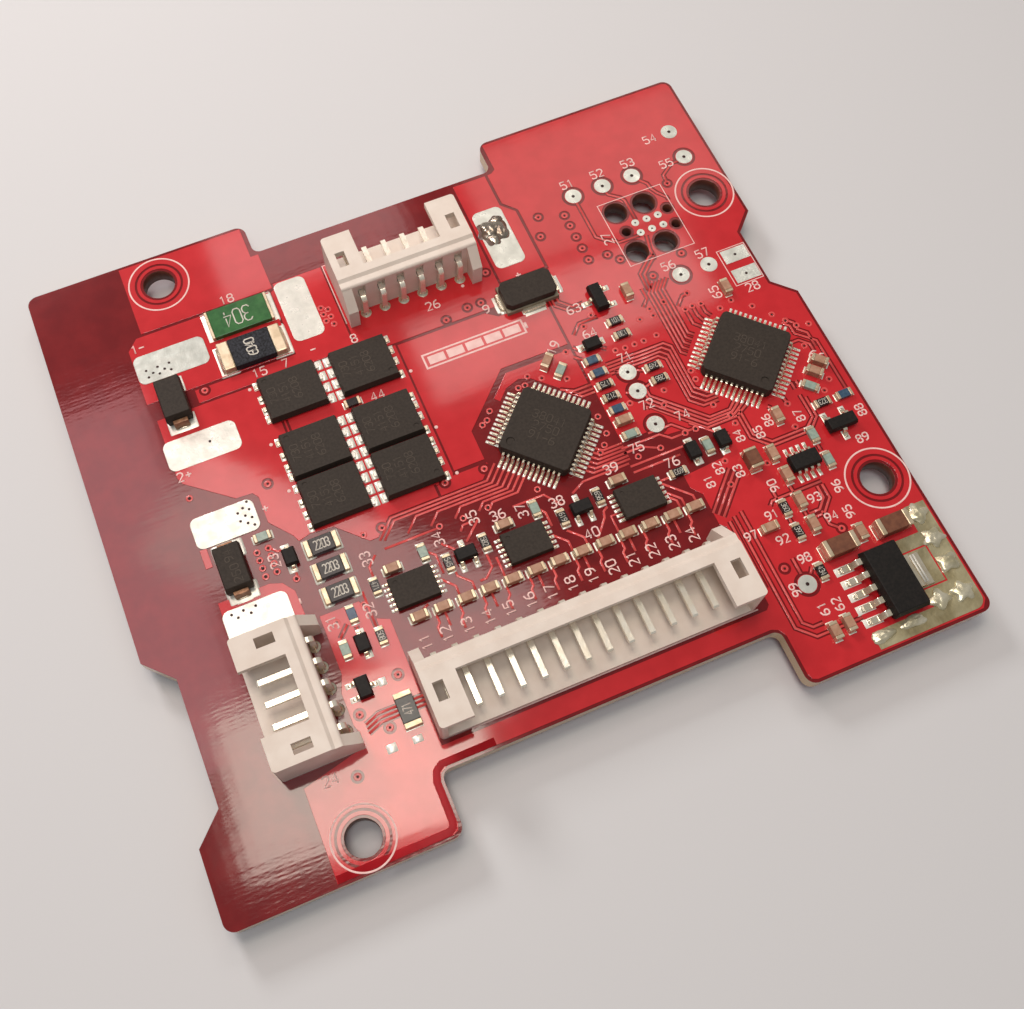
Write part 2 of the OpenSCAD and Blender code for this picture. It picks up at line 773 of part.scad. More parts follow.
function small_chip(h) = [chip_l, chip_w, h];
function cell_cap_at(i) = [cell_cap_x + i*cell_cap_pitch, cell_cap_y, 0];

module cell_capacitors() {
    color([0.68, 0.52, 0.38]) for (i = [0 : cell_caps - 1])
        on_board(cell_cap_at(i)) chip_core(small_chip(cap_h), chip_end);
}

module small_capacitors() {
    color([0.66, 0.5, 0.37]) for (p = small_caps_at)
        on_board(p) chip_core(small_chip(cap_h), chip_end);
}

module black_resistors() {
    dark(0.15) for (p = black_resistors_at) on_board(p) chip_core(small_chip(chip_h), chip_end);
}

module blue_resistors() {
    color([0.3, 0.42, 0.5]) for (p = blue_resistors_at)
        on_board(p) chip_core(small_chip(chip_h), chip_end);
}

module grey_resistors() {
    color([0.62, 0.68, 0.63]) for (p = grey_resistors_at)
        on_board(p) chip_core(small_chip(chip_h), chip_end);
}

module thermistor() {
    dark(0.3) on_board(thermistor_at) chip_core(small_chip(chip_h), chip_end);
}

module chip_ends() {
    tin() {
        for (i = [0 : cell_caps - 1])
            on_board(cell_cap_at(i)) chip_cap_ends(small_chip(cap_h), chip_end);
        for (p = small_caps_at) on_board(p) chip_cap_ends(small_chip(cap_h), chip_end);
        for (p = concat(black_resistors_at, blue_resistors_at, grey_resistors_at, [thermistor_at]))
            on_board(p) chip_cap_ends(small_chip(chip_h), chip_end);
    }
}

module large_capacitors() {
    color([0.4, 0.27, 0.22]) {
        for (p = large_caps_at) on_board(p) chip_core([large_l, large_w, large_cap_h], large_end);
        on_board(middle_cap_at) chip_core(middle_cap, chip_end);
    }
}

module large_capacitor_ends() {
    tin() {
        for (p = large_caps_at)
            on_board(p) chip_cap_ends([large_l, large_w, large_cap_h], large_end);
        on_board(middle_cap_at) chip_cap_ends(middle_cap, chip_end);
    }
}

module power_resistors() {
    dark(0.15) for (p = power_resistors_at)
        on_board(p) chip_core([large_l, large_w, film_shunt_h], large_end);
}

module power_resistor_ends() {
    tin() for (p = power_resistors_at)
        on_board(p) chip_cap_ends([large_l, large_w, film_shunt_h], large_end);
}

module film_shunt() {
    color([0.2, 0.42, 0.25]) on_board(film_shunt_at)
        chip_core([shunt_l, shunt_w, film_shunt_h], 0.3);
}

module film_shunt_ends() {
    tin() on_board(film_shunt_at) chip_cap_ends([shunt_l, shunt_w, film_shunt_h], 0.3);
}

module metal_shunt() {
    dark(0.14) on_board(metal_shunt_at) chip_core([shunt_l, shunt_w, metal_shunt_h], 1.15);
}

module metal_shunt_ends() {
    tin() on_board(metal_shunt_at) chip_cap_ends([shunt_l, shunt_w, metal_shunt_h], 1.15);
}

// Clamp diodes stand on two folded strips
module clamp_diodes() {
    lift = 0.2;
    dark(0.22) for (p = clamps_at)
        on_board([p[0], p[1], 90]) translate([0, 0, lift])
            moulded([clamp_l, clamp_w, clamp_h - lift], clamp_h*0.45, 0.12);
}

module clamp_diode_leads() {
    w = clamp_w*0.55;
    t = 0.18;
    out = 0.4;
    z = 0.2 + clamp_h*0.45;
    tin() for (p = clamps_at, turn = [90, -90])
        on_board([p[0], p[1], turn]) translate([clamp_l/2, w/2, 0]) rotate([90, 0, 0])
            linear_extrude(w) difference() {
                translate([-0.9, 0]) square([0.9 + out, z + t/2]);
                translate([-0.9 - over, t]) square([0.9 + over + out - t, z - 1.5*t]);
                translate([-0.9 - over, z - t]) square([0.9 + over, t*2]);
            }
}

// Chip fuse: ceramic base, black cover with cut corners, three end plates
module fuse_base() {
    color([0.55, 0.5, 0.42]) on_board(fuse_at) translate([-fuse_l/2, -fuse_w/2, 0])
        cube([fuse_l, fuse_w, fuse_base_h]);
}

module fuse_cover() {
    l = fuse_l/2 - 0.05;
    w = fuse_w/2 - 0.12;
    c = 0.45;
    dark(0.25) on_board(fuse_at) translate([0, 0, fuse_base_h]) linear_extrude(fuse_h - fuse_base_h)
        polygon([[-l + c, -w], [l - c, -w], [l, -w + c], [l, w - c], [l - c, w], [-l + c, w],
                 [-l, w - c], [-l, -w + c]]);
}

module fuse_ends() {
    out = 0.35;
    tin() on_board(fuse_at) {
        for (x = [-fuse_l/2 - out, fuse_l/2])
            translate([x, -fuse_w*0.3, 0]) cube([out, fuse_w*0.6, fuse_base_h*0.7]);
        translate([-fuse_l*0.22, -fuse_w/2 - out, 0]) cube([fuse_l*0.44, out, fuse_base_h*0.7]);
    }
}

module small_diodes() {
    dark(0.18) for (p = small_diodes_at) on_board(p) translate([0, 0, quad_lift])
        moulded(small_diode - [0, 0, quad_lift], small_diode[2]*0.35, 0.1);
}

module small_diode_leads() {
    tin() for (p = small_diodes_at, turn = [0, 180])
        on_board(p) rotate(turn) translate([small_diode[0]/2, 0, 0])
            gull_lead((small_diode_span - small_diode[0])/2, quad_lift + small_diode[2]*0.35, 0.35,
                      small_lead_t);
}

module small_transistors() {
    dark(0.18) {
        for (p = wide_transistors_at) on_board(p) translate([0, 0, quad_lift])
            moulded(wide_transistor, wide_transistor[2]*0.5, 0.1);
        for (p = narrow_transistors_at) on_board(p) translate([0, 0, quad_lift])
            moulded(narrow_transistor, narrow_transistor[2]*0.5, 0.1);
    }
}

// One lead at the back in the middle, two at the front
module three_leads(body, pitch, reach, w) {
    for (k = [[0, 90], [-pitch, -90], [pitch, -90]])
        translate([k[0], sign(k[1])*body[1]/2, 0]) rotate(k[1])
            gull_lead(reach, quad_lift + body[2]*0.5, w, small_lead_t);
}

module small_transistor_leads() {
    tin() {
        for (p = wide_transistors_at) on_board(p) three_leads(wide_transistor, 0.95, 0.65, 0.42);
        for (p = narrow_transistors_at) on_board(p) three_leads(narrow_transistor, 0.65, 0.5, 0.32);
    }
}

circuit_board();
cable_pads();
test_pads();
contact_pads();
select_pads();
heat_pad();
tab_pad();
cell_header_housing();
cell_header_contacts();
link_header_housing();
link_header_contacts();
charge_header_housing();
charge_header_contacts();
header_solder();
power_transistors();
power_transistor_leads();
power_transistor_drains();
monitor_chip();
monitor_chip_leads();
processor_chip();
processor_chip_leads();
driver_chips();
driver_chip_leads();
bus_chip();
bus_chip_leads();
regulator();
regulator_leads();
regulator_tab();
heat_pad_solder();
film_shunt();
film_shunt_ends();
metal_shunt();
metal_shunt_ends();
clamp_diodes();
clamp_diode_leads();
fuse_cover();
fuse_base();
fuse_ends();
cell_capacitors();
small_capacitors();
large_capacitors();
large_capacitor_ends();
black_resistors();
blue_resistors();
grey_resistors();
thermistor();
chip_ends();
power_resistors();
power_resistor_ends();
small_diodes();
small_diode_leads();
small_transistors();
small_transistor_leads();
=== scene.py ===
import math
import bmesh
import bpy
from mathutils import Matrix, Vector, noise


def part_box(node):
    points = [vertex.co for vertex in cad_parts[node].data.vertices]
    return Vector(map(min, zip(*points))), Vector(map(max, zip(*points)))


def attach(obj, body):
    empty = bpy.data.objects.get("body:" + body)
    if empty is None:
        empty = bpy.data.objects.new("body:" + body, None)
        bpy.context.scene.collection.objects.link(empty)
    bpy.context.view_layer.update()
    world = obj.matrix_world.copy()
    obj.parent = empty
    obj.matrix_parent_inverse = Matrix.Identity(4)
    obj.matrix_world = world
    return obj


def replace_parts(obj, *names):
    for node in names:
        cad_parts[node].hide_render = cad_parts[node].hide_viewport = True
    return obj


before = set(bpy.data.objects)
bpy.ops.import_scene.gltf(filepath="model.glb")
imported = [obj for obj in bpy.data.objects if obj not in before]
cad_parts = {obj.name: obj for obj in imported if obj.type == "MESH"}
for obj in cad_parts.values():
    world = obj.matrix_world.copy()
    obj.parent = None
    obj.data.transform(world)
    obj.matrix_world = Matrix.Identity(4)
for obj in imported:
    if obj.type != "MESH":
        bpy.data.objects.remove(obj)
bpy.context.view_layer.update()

# The battery management board, dressed for rendering. Sizes below are in millimetres
# in the board's own frame: X along the board, Y across it, heights from the board's top.
mm = 0.001
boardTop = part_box("circuit_board")[1].z
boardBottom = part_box("circuit_board")[0].z
boardThick = (boardTop - boardBottom) / mm
mergeGap = 1e-7
upright = Vector((0, 0, 1))
finishes = {}
scene = bpy.context.scene
scene.view_settings.view_transform = "Standard"


def at(x, y, z=0.0):
    return Vector((x * mm, y * mm, boardTop + z * mm))


def addPiece(name, mesh, finish, smooth=True):
    if isinstance(mesh, bmesh.types.BMesh):
        made = bpy.data.meshes.new(name)
        mesh.to_mesh(made)
        mesh.free()
        mesh = made
    mesh.materials.clear()
    mesh.materials.append(finishes[finish])
    mesh.polygons.foreach_set("use_smooth", [smooth] * len(mesh.polygons))
    piece = bpy.data.objects.new(name, mesh)
    scene.collection.objects.link(piece)
    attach(piece, "root")
    return piece


def facesOut(bm):
    bmesh.ops.recalc_face_normals(bm, faces=bm.faces)
    return bm


def joined(meshes, gap=mergeGap):
    bm = bmesh.new()
    for mesh in meshes:
        bm.from_mesh(mesh)
    bmesh.ops.remove_doubles(bm, verts=bm.verts, dist=gap)
    return bm


def evaluated(holder):
    bpy.context.view_layer.update()
    graph = bpy.context.evaluated_depsgraph_get()
    return bpy.data.meshes.new_from_object(holder.evaluated_get(graph))


def newCurve(dimensions, extrude, bevel):
    curve = bpy.data.curves.new("line", "CURVE")
    curve.dimensions = dimensions
    curve.extrude = extrude * mm
    curve.bevel_depth = bevel * mm
    curve.bevel_resolution = 1
    return curve


def addSpline(curve, points, closed, tilt=0.0):
    spline = curve.splines.new("POLY")
    spline.points.add(len(points) - 1)
    for point, (x, y) in zip(spline.points, points):
        point.co = (x * mm, y * mm, 0, 1)
        point.tilt = tilt
    spline.use_cyclic_u = closed


def bakeCurve(curve, lift):
    # a curve becomes a mesh and is set at its height over the board
    holder = bpy.data.objects.new("holder", curve)
    scene.collection.objects.link(holder)
    mesh = evaluated(holder)
    mesh.transform(Matrix.Translation((0, 0, boardTop + lift * mm)))
    bpy.data.objects.remove(holder)
    return mesh


def barMesh(lines, width, height, lift):
    # flat bars along lines of (x, y) points; a closed line starts with the word "ring"
    curve = newCurve("3D", max(width - height, 0.001) / 2, height / 2)
    curve.twist_mode = "Z_UP"
    curve.use_fill_caps = True
    for line in lines:
        closed = line[0] == "ring"
        addSpline(curve, line[1:] if closed else line, closed, math.pi / 2)
    return bakeCurve(curve, lift + height / 2)


def fillMesh(outlines, height, edge, lift):
    # one flat shape with a softly rounded rim; outlines inside the first are holes
    curve = newCurve("2D", height / 2 - edge, edge)
    curve.fill_mode = "BOTH"
    curve.offset = -edge * mm
    for outline in outlines:
        addSpline(curve, outline, True)
    return bakeCurve(curve, lift + height / 2)


def layLines(name, lines, width, height, lift, finish, smooth=True):
    bm = facesOut(joined([barMesh(lines, width, height, lift)]))
    return addPiece(name, bm, finish, smooth)


def layShapes(name, shapes, height, lift, finish, edge=0.01):
    bm = facesOut(joined([fillMesh(outlines, height, edge, lift) for outlines in shapes]))
    return addPiece(name, bm, finish, smooth=False)


def cutShapes(name, shapes, cutters, height, edge, lift, finish):
    # flat shapes with channels cut through them; cutters are (width, lines)
    cutter = {"high": 0.25, "under": 0.1, "gap": 2e-7}
    stock = joined([fillMesh(outlines, height, edge, lift) for outlines in shapes])
    tool = joined([barMesh(lines, width, cutter["high"], lift - cutter["under"]) for width, lines in cutters])
    pair = []
    for part in (stock, tool):
        mesh = bpy.data.meshes.new(name)
        part.to_mesh(mesh)
        part.free()
        pair.append(bpy.data.objects.new(name + "Stock", mesh))
        scene.collection.objects.link(pair[-1])
    cut = pair[0].modifiers.new("cut", "BOOLEAN")
    cut.operation = "DIFFERENCE"
    cut.solver = "EXACT"
    cut.use_self = True
    cut.object = pair[1]
    mesh = evaluated(pair[0])
    for spent in pair:
        bpy.data.objects.remove(spent)
    return addPiece(name, facesOut(joined([mesh], cutter["gap"])), finish, smooth=False)


def circle(x, y, radius, count=32):
    return [(x + radius * math.cos(2 * math.pi * i / count), y + radius * math.sin(2 * math.pi * i / count))
            for i in range(count)]


def ring(x, y, radius, count=32):
    return ["ring"] + circle(x, y, radius, count)


def addSpot(bm, x, y, z, radius, topRadius, depth, segments):
    # a flat round spot with sloping sides
    bmesh.ops.create_cone(bm, cap_ends=True, segments=segments, radius1=radius * mm, radius2=topRadius * mm,
                          depth=depth * mm, matrix=Matrix.Translation(at(x, y, z)))


def closeHoles(bm):
    bmesh.ops.holes_fill(bm, edges=[e for e in bm.edges if len(e.link_faces) == 1], sides=0)


def turned(profile, closed, steps):
    # a profile of (radius, height) points spun round the upright axis
    bm = bmesh.new()
    verts = [bm.verts.new((r, 0, z)) for r, z in profile]
    pairs = list(zip(verts, verts[1:])) + ([(verts[-1], verts[0])] if closed else [])
    edges = [bm.edges.new(pair) for pair in pairs]
    bmesh.ops.spin(bm, geom=verts + edges, axis=upright, cent=(0, 0, 0), angle=2 * math.pi, steps=steps,
                   use_merge=True)
    closeHoles(bm)
    return facesOut(bm)


def nodeCopy(nodeName):
    # the node's loose triangles are joined up in a copy
    return joined([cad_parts[nodeName].data])


def islands(nodeName):
    # each separate solid of a node, as its points in the board's frame
    bm = nodeCopy(nodeName)
    seen = set()
    found = []
    for first in bm.verts:
        if first in seen:
            continue
        seen.add(first)
        group = []
        todo = [first]
        while todo:
            vert = todo.pop()
            group.append(Vector((vert.co.x / mm, vert.co.y / mm, (vert.co.z - boardTop) / mm)))
            for edge in vert.link_edges:
                other = edge.other_vert(vert)
                if other not in seen:
                    seen.add(other)
                    todo.append(other)
        found.append(group)
    bm.free()
    return found


def middle(points):
    return sum(points, Vector()) / len(points)


def layout(points, bodies, longWays):
    # where a lead or an end stands: middle, outward direction, half length, half width, height
    centre = middle(points)
    xx = sum((p.x - centre.x) ** 2 for p in points)
    yy = sum((p.y - centre.y) ** 2 for p in points)
    xy = sum((p.x - centre.x) * (p.y - centre.y) for p in points)
    turn = 0.5 * math.atan2(2 * xy, xx - yy)
    if not longWays:
        turn += math.pi / 2
    out = Vector((math.cos(turn), math.sin(turn), 0))
    body = min(bodies, key=lambda b: (b.x - centre.x) ** 2 + (b.y - centre.y) ** 2)
    if out.dot(Vector((centre.x - body.x, centre.y - body.y, 0))) < 0:
        out.negate()
    side = Vector((-out.y, out.x, 0))
    along = [out.dot(p - centre) for p in points]
    across = [side.dot(p - centre) for p in points]
    mid = centre + out * (max(along) + min(along)) / 2 + side * (max(across) + min(across)) / 2
    return mid, out, (max(along) - min(along)) / 2, (max(across) - min(across)) / 2, max(p.z for p in points)


def stamp(target, template, place):
    # adds a copy of a small template mesh
    copy = template.copy()
    bmesh.ops.transform(copy, matrix=place, verts=copy.verts)
    held = bpy.data.meshes.new("held")
    copy.to_mesh(held)
    copy.free()
    target.from_mesh(held)
    bpy.data.meshes.remove(held)


def placed(x, y, z=0.0):
    # where a template drawn in millimetres goes
    return Matrix.Translation(at(x, y, z)) @ Matrix.Scale(mm, 4)


def facing(centre, out, length, width, height):
    # a frame with X outwards, in metres, scaled to a length, width and height in millimetres
    turn = Matrix.Rotation(math.atan2(out.y, out.x), 4, "Z")
    grow = Matrix.Diagonal((length * mm, width * mm, height * mm, 1))
    return Matrix.Translation(at(centre.x, centre.y)) @ turn @ grow


def addSkirt(bm):
    # the rim of a sheet goes straight down to the board
    skirt = bmesh.ops.extrude_face_region(bm, geom=bm.faces[:])
    for vert in [g for g in skirt["geom"] if isinstance(g, bmesh.types.BMVert)]:
        vert.co.z = 0.0
    return facesOut(bm)


def pillow():
    # a thin plate with a rounded rim, 2 by 2 and 1 high
    plate = {"shoulder": 0.86, "rimHigh": 0.3, "cornerIn": 0.95}
    bm = bmesh.new()
    bmesh.ops.create_grid(bm, x_segments=4, y_segments=4, size=1)
    for vert in bm.verts:
        rim = max(abs(vert.co.x), abs(vert.co.y)) > 0.9
        for axis in (0, 1):
            if 0.4 < abs(vert.co[axis]) < 0.6:
                vert.co[axis] = math.copysign(plate["shoulder"], vert.co[axis])
        vert.co.z = plate["rimHigh"] if rim else 1.0
        if rim and abs(abs(vert.co.x) - abs(vert.co.y)) < 0.05:
            vert.co.x *= plate["cornerIn"]
            vert.co.y *= plate["cornerIn"]
    return addSkirt(bm)


def fillet():
    # solder climbing a metal end: hollow slope, 1 long, 2 wide and 1 high
    slope = {"hollow": 2.2, "sideLow": 0.55, "least": 0.03, "narrowTop": 0.12, "narrowFoot": 0.15}
    bm = bmesh.new()
    bmesh.ops.create_grid(bm, x_segments=5, y_segments=4, size=1)
    for vert in bm.verts:
        run = (vert.co.x + 1) / 2
        side = slope["sideLow"] if abs(vert.co.y) >= 0.9 else 1.0
        vert.co.x = run
        vert.co.y *= 1.0 - slope["narrowTop"] * (1 - run) - slope["narrowFoot"] * run * run
        vert.co.z = max((1 - run) ** slope["hollow"] * side, slope["least"])
    return addSkirt(bm)


plateShape = pillow()
filletShape = fillet()


def softCopy(name, nodeName, width, segments, finish):
    # the node again with its edges softened, standing in for it
    flat, sharp = math.radians(1), math.radians(30)
    bm = nodeCopy(nodeName)
    bmesh.ops.dissolve_limit(bm, angle_limit=flat, verts=bm.verts, edges=bm.edges)
    edges = [e for e in bm.edges if len(e.link_faces) == 2 and e.calc_face_angle(0) > sharp]
    bmesh.ops.bevel(bm, geom=edges, affect="EDGES", offset=width * mm, segments=segments, profile=0.5,
                    clamp_overlap=True, material=-1)
    piece = addPiece(name, facesOut(bm), finish, smooth=False)
    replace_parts(piece, nodeName)
    return piece


def addNode(tree, kind, values=None, sources=None, **settings):
    # a shader node with its settings, the values of its inputs and what is linked to them
    made = tree.nodes.new("ShaderNode" + kind)
    for name, value in settings.items():
        setattr(made, name, value)
    for socket, value in (values or {}).items():
        made.inputs[socket].default_value = value
    for socket, source in (sources or {}).items():
        tree.links.new(source, made.inputs[socket])
    return made


def mixTones(tree, first, second, share):
    # the mix node's two colours are its inputs 6 and 7
    return addNode(tree, "Mix", {6: (*first, 1), 7: (*second, 1)}, {"Factor": share}, data_type="RGBA")


def newFinish(name, colour, second, roughness, metallic=0.0, scale=300.0, detail=4.0, patchScale=60.0,
              patch=0.08, bump=0.0, bumpScale=2000.0, bumpDepth=0.00004, stretch=None, spread=0.06,
              coat=0.0, coatRoughness=0.1, specular=0.5):
    # colour varies between two tones by fine grain and by broad patches; the grain also
    # moves the roughness and raises a little bump
    material = bpy.data.materials.new(name)
    material.use_nodes = True
    tree = material.node_tree
    shader = tree.nodes["Principled BSDF"]
    for socket, value in (("Metallic", metallic), ("Coat Weight", coat), ("Coat Roughness", coatRoughness),
                          ("Specular IOR Level", specular)):
        shader.inputs[socket].default_value = value
    place = addNode(tree, "TexCoord").outputs["Object"]
    grain = addNode(tree, "TexNoise", {"Scale": scale, "Detail": detail}, {"Vector": place}).outputs["Fac"]
    patches = addNode(tree, "TexNoise", {"Scale": patchScale, "Detail": 2.0}, {"Vector": place}).outputs["Fac"]
    share = addNode(tree, "MapRange", {"From Min": 0.35, "From Max": 0.65}, {"Value": grain})
    tones = mixTones(tree, colour, second, share.outputs["Result"])
    depth = addNode(tree, "MapRange", {"From Min": 0.3, "From Max": 0.7, "To Min": 1.0 - patch, "To Max": 1.0},
                    {"Value": patches})
    shade = addNode(tree, "Mix", {"Factor": 1.0}, {6: tones.outputs[2], 7: depth.outputs["Result"]},
                    data_type="RGBA", blend_type="MULTIPLY")
    tree.links.new(shade.outputs[2], shader.inputs["Base Color"])
    gloss = addNode(tree, "MapRange", {"To Min": max(roughness - spread, 0.02), "To Max": roughness + spread},
                    {"Value": grain})
    tree.links.new(gloss.outputs["Result"], shader.inputs["Roughness"])
    if bump:
        if stretch:
            place = addNode(tree, "Mapping", {"Scale": stretch}, {"Vector": place}).outputs["Vector"]
        relief = addNode(tree, "TexNoise", {"Scale": bumpScale, "Detail": 3.0}, {"Vector": place})
        addRelief(tree, relief.outputs["Fac"], bump, bumpDepth)
    return material


def addRelief(tree, heights, strength, depth):
    shader = tree.nodes["Principled BSDF"]
    raised = addNode(tree, "Bump", {"Strength": strength, "Distance": depth}, {"Height": heights})
    tree.links.new(raised.outputs["Normal"], shader.inputs["Normal"])
    tree.links.new(raised.outputs["Normal"], shader.inputs["Coat Normal"])


def srgb(r, g, b):
    return tuple((c / 255 / 12.92) if c <= 10 else ((c / 255 + 0.055) / 1.055) ** 2.4 for c in (r, g, b))


# each finish: two tones, roughness and the rest
glossy = dict(bump=0.06, bumpScale=900, coat=1.0, specular=0.05)
solder = dict(scale=900, bump=0.8, bumpScale=1300, bumpDepth=0.00005, patchScale=220)
moulded = dict(scale=4000, bumpScale=9000, detail=6, specular=0.16)
glazed = dict(scale=3000, bump=0.15, bumpScale=4000, specular=0.2)
fired = dict(scale=2000, bump=0.2, bumpScale=5000, specular=0.3)
printed = dict(scale=1500, bumpScale=3000)
finishTable = {
    "copperMask": ((206, 41, 46), (196, 36, 41), 0.4,
                   dict(glossy, scale=500, coatRoughness=0.07, stretch=(0.25, 1.0, 1.0))),
    "rimMask": ((178, 26, 34), (160, 20, 28), 0.5, dict(scale=700, bump=0.1, bumpScale=1500, specular=0.2)),
    "traceMask": ((226, 90, 86), (212, 74, 72), 0.4, dict(glossy, scale=900, coatRoughness=0.08)),
    "resinBrown": ((118, 66, 50), (86, 44, 34), 0.5,
                   dict(scale=900, bump=0.5, bumpScale=2400, coat=0.2, specular=0.3)),
    "tin": ((250, 240, 216), (222, 208, 180), 0.24,
            dict(metallic=0.78, scale=900, bump=0.2, bumpScale=2500, spread=0.1)),
    "padTin": ((234, 234, 222), (212, 212, 200), 0.3, dict(solder, metallic=0.4, spread=0.12, patch=0.14)),
    # a darker copy of the pad tin: painted shade on the cable pad at the back left
    "shadedPadTin": ((196, 198, 188), (174, 176, 166), 0.38, dict(solder, metallic=0.3, spread=0.1, patch=0.16)),
    "landTin": ((250, 246, 234), (236, 231, 216), 0.3,
                dict(metallic=0.3, scale=900, bump=0.15, bumpScale=2200, spread=0.1)),
    "endTin": ((224, 206, 176), (194, 174, 142), 0.34,
               dict(metallic=0.6, scale=1100, bump=0.12, bumpScale=2500, spread=0.08)),
    "dollopTin": ((244, 236, 210), (206, 196, 160), 0.26,
                  dict(metallic=0.6, scale=600, bump=0.3, bumpScale=1200, spread=0.1, patchScale=400,
                       patch=0.2)),
    "burntTin": ((214, 202, 184), (116, 92, 72), 0.24,
                 dict(metallic=0.8, scale=520, bump=0.5, bumpScale=1400, spread=0.12, patchScale=500,
                      patch=0.3)),
    "heatTin": ((226, 214, 172), (172, 158, 118), 0.32,
                dict(metallic=0.55, scale=420, bump=0.9, bumpScale=1100, bumpDepth=0.0001, spread=0.15,
                     patchScale=260, patch=0.3)),
    "wire": ((252, 246, 230), (240, 230, 208), 0.22,
             dict(metallic=0.45, scale=800, bump=0.2, bumpScale=3000, spread=0.08)),
    "headerNylon": ((234, 220, 206), (226, 210, 195), 0.45,
                    dict(scale=500, bump=0.12, bumpScale=3000, spread=0.05, specular=0.3)),
    "packageEpoxy": ((62, 54, 47), (54, 47, 41), 0.6, dict(moulded, bump=0.25)),
    "smallEpoxy": ((38, 34, 31), (28, 26, 24), 0.5, dict(moulded, bump=0.3)),
    "capacitorTan": ((188, 146, 120), (170, 126, 100), 0.45, fired),
    "capacitorBrown": ((124, 78, 56), (106, 64, 46), 0.45, fired),
    "resistorBlack": ((44, 38, 36), (32, 28, 27), 0.35, dict(glazed, coat=0.3)),
    "resistorBlue": ((70, 96, 116), (48, 74, 98), 0.35, dict(glazed, coat=0.4)),
    "resistorGrey": ((160, 176, 160), (140, 158, 144), 0.35, dict(glazed, coat=0.4)),
    "shuntGreen": ((56, 112, 56), (40, 94, 44), 0.4,
                   dict(scale=1500, bump=0.3, bumpScale=3000, coat=0.3, specular=0.15)),
    "shuntBlack": ((15, 15, 18), (54, 55, 61), 0.5,
                   dict(scale=5200, bump=0.6, bumpScale=6000, detail=8, specular=0.16)),
    "wrapCopper": ((166, 122, 88), (120, 82, 56), 0.36,
                   dict(metallic=0.4, scale=1200, bump=0.4, bumpScale=3000, spread=0.12)),
    "fuseCeramic": ((150, 138, 118), (134, 122, 102), 0.6, dict(fired, bump=0.3, specular=0.2)),
    "silkInk": ((250, 212, 204), (240, 196, 188), 0.6, dict(printed, bump=0.3, specular=0.2)),
    "paleInk": ((222, 214, 200), (202, 194, 180), 0.6, dict(printed, bump=0.2, specular=0.2)),
    "faintInk": ((84, 74, 64), (72, 64, 56), 0.6, dict(printed, bump=0.2, specular=0.16)),
    # painted shade for the small holes
    "paintedHoleShade": ((66, 40, 36), (46, 28, 26), 0.5, dict(scale=1500, specular=0.2)),
    "flux": ((104, 70, 50), (70, 44, 32), 0.34,
             dict(scale=480, bump=0.5, bumpScale=1300, spread=0.12, coat=0.5)),
    "bareMask": ((124, 22, 24), (112, 17, 20), 0.4,
                 dict(scale=500, coat=0.9, coatRoughness=0.08, specular=0.03)),
}
for name, (colour, second, roughness, rest) in finishTable.items():
    finishes[name] = newFinish(name, srgb(*colour), srgb(*second), roughness, **rest)

# bare laminate: a dark mask with the glass weave and long ripples in it, and cut edges in bare tan
bare = {"weaves": (("X", 300.0), ("Y", 820.0)), "weaveBend": 3.0, "rippleScale": 1500.0,
        "rippleStretch": (0.15, 1.0, 1.0), "rippleShare": 7.0, "relief": 0.042, "reliefDepth": 0.00002,
        "skin": 0.00006, "layerScale": 1400.0, "layerBend": 2.0, "edgeTan": (216, 186, 144),
        "edgeBrown": (176, 138, 98)}


def finishLaminate(tree):
    shader = tree.nodes["Principled BSDF"]
    place = tree.nodes["Texture Coordinate"].outputs["Object"]
    weaves = [addNode(tree, "TexWave", {"Scale": pitch, "Distortion": bare["weaveBend"], "Detail": 2.0},
                      {"Vector": place}, wave_type="BANDS", bands_direction=direction).outputs["Fac"]
              for direction, pitch in bare["weaves"]]
    cross = addNode(tree, "Math", None, {0: weaves[0], 1: weaves[1]}, operation="MULTIPLY")
    stretched = addNode(tree, "Mapping", {"Scale": bare["rippleStretch"]}, {"Vector": place})
    ripple = addNode(tree, "TexNoise", {"Scale": bare["rippleScale"], "Detail": 2.0},
                     {"Vector": stretched.outputs["Vector"]})
    heights = addNode(tree, "Math", {1: bare["rippleShare"]},
                      {0: ripple.outputs["Fac"], 2: cross.outputs["Value"]}, operation="MULTIPLY_ADD")
    addRelief(tree, heights.outputs["Value"], bare["relief"], bare["reliefDepth"])
    # the cut edge lies between the two mask skins, tan with glass layers
    height = addNode(tree, "SeparateXYZ", None, {"Vector": place}).outputs["Z"]
    above = addNode(tree, "Math", {1: boardBottom + bare["skin"]}, {0: height}, operation="GREATER_THAN")
    below = addNode(tree, "Math", {1: boardTop - bare["skin"]}, {0: height}, operation="LESS_THAN")
    inside = addNode(tree, "Math", None, {0: above.outputs["Value"], 1: below.outputs["Value"]},
                     operation="MULTIPLY")
    layers = addNode(tree, "TexWave", {"Scale": bare["layerScale"], "Distortion": bare["layerBend"]},
                     {"Vector": place}, bands_direction="Z")
    edge = mixTones(tree, srgb(*bare["edgeTan"]), srgb(*bare["edgeBrown"]), layers.outputs["Fac"])
    mask = shader.inputs["Base Color"].links[0].from_socket
    whole = addNode(tree, "Mix", None, {"Factor": inside.outputs["Value"], 6: mask, 7: edge.outputs[2]},
                    data_type="RGBA")
    tree.links.new(whole.outputs[2], shader.inputs["Base Color"])


finishLaminate(finishes["bareMask"].node_tree)
print("finishes ready")

# copper under the mask: broad areas stand a little above the bare laminate, with holes round the drillings
pourHigh = 0.045
pourEdge = 0.02
screwHoles = [(-22.7, 28.6), (32.4, 17.3), (32.4, -17.3), (-22.7, -29.1)]
legHoles = [(22.96, 13.51), (26.135, 13.51), (22.96, 18.59), (26.135, 18.59)]
pinHoles = [(22.96, 16.05), (28.04, 17.066), (28.04, 15.034)]
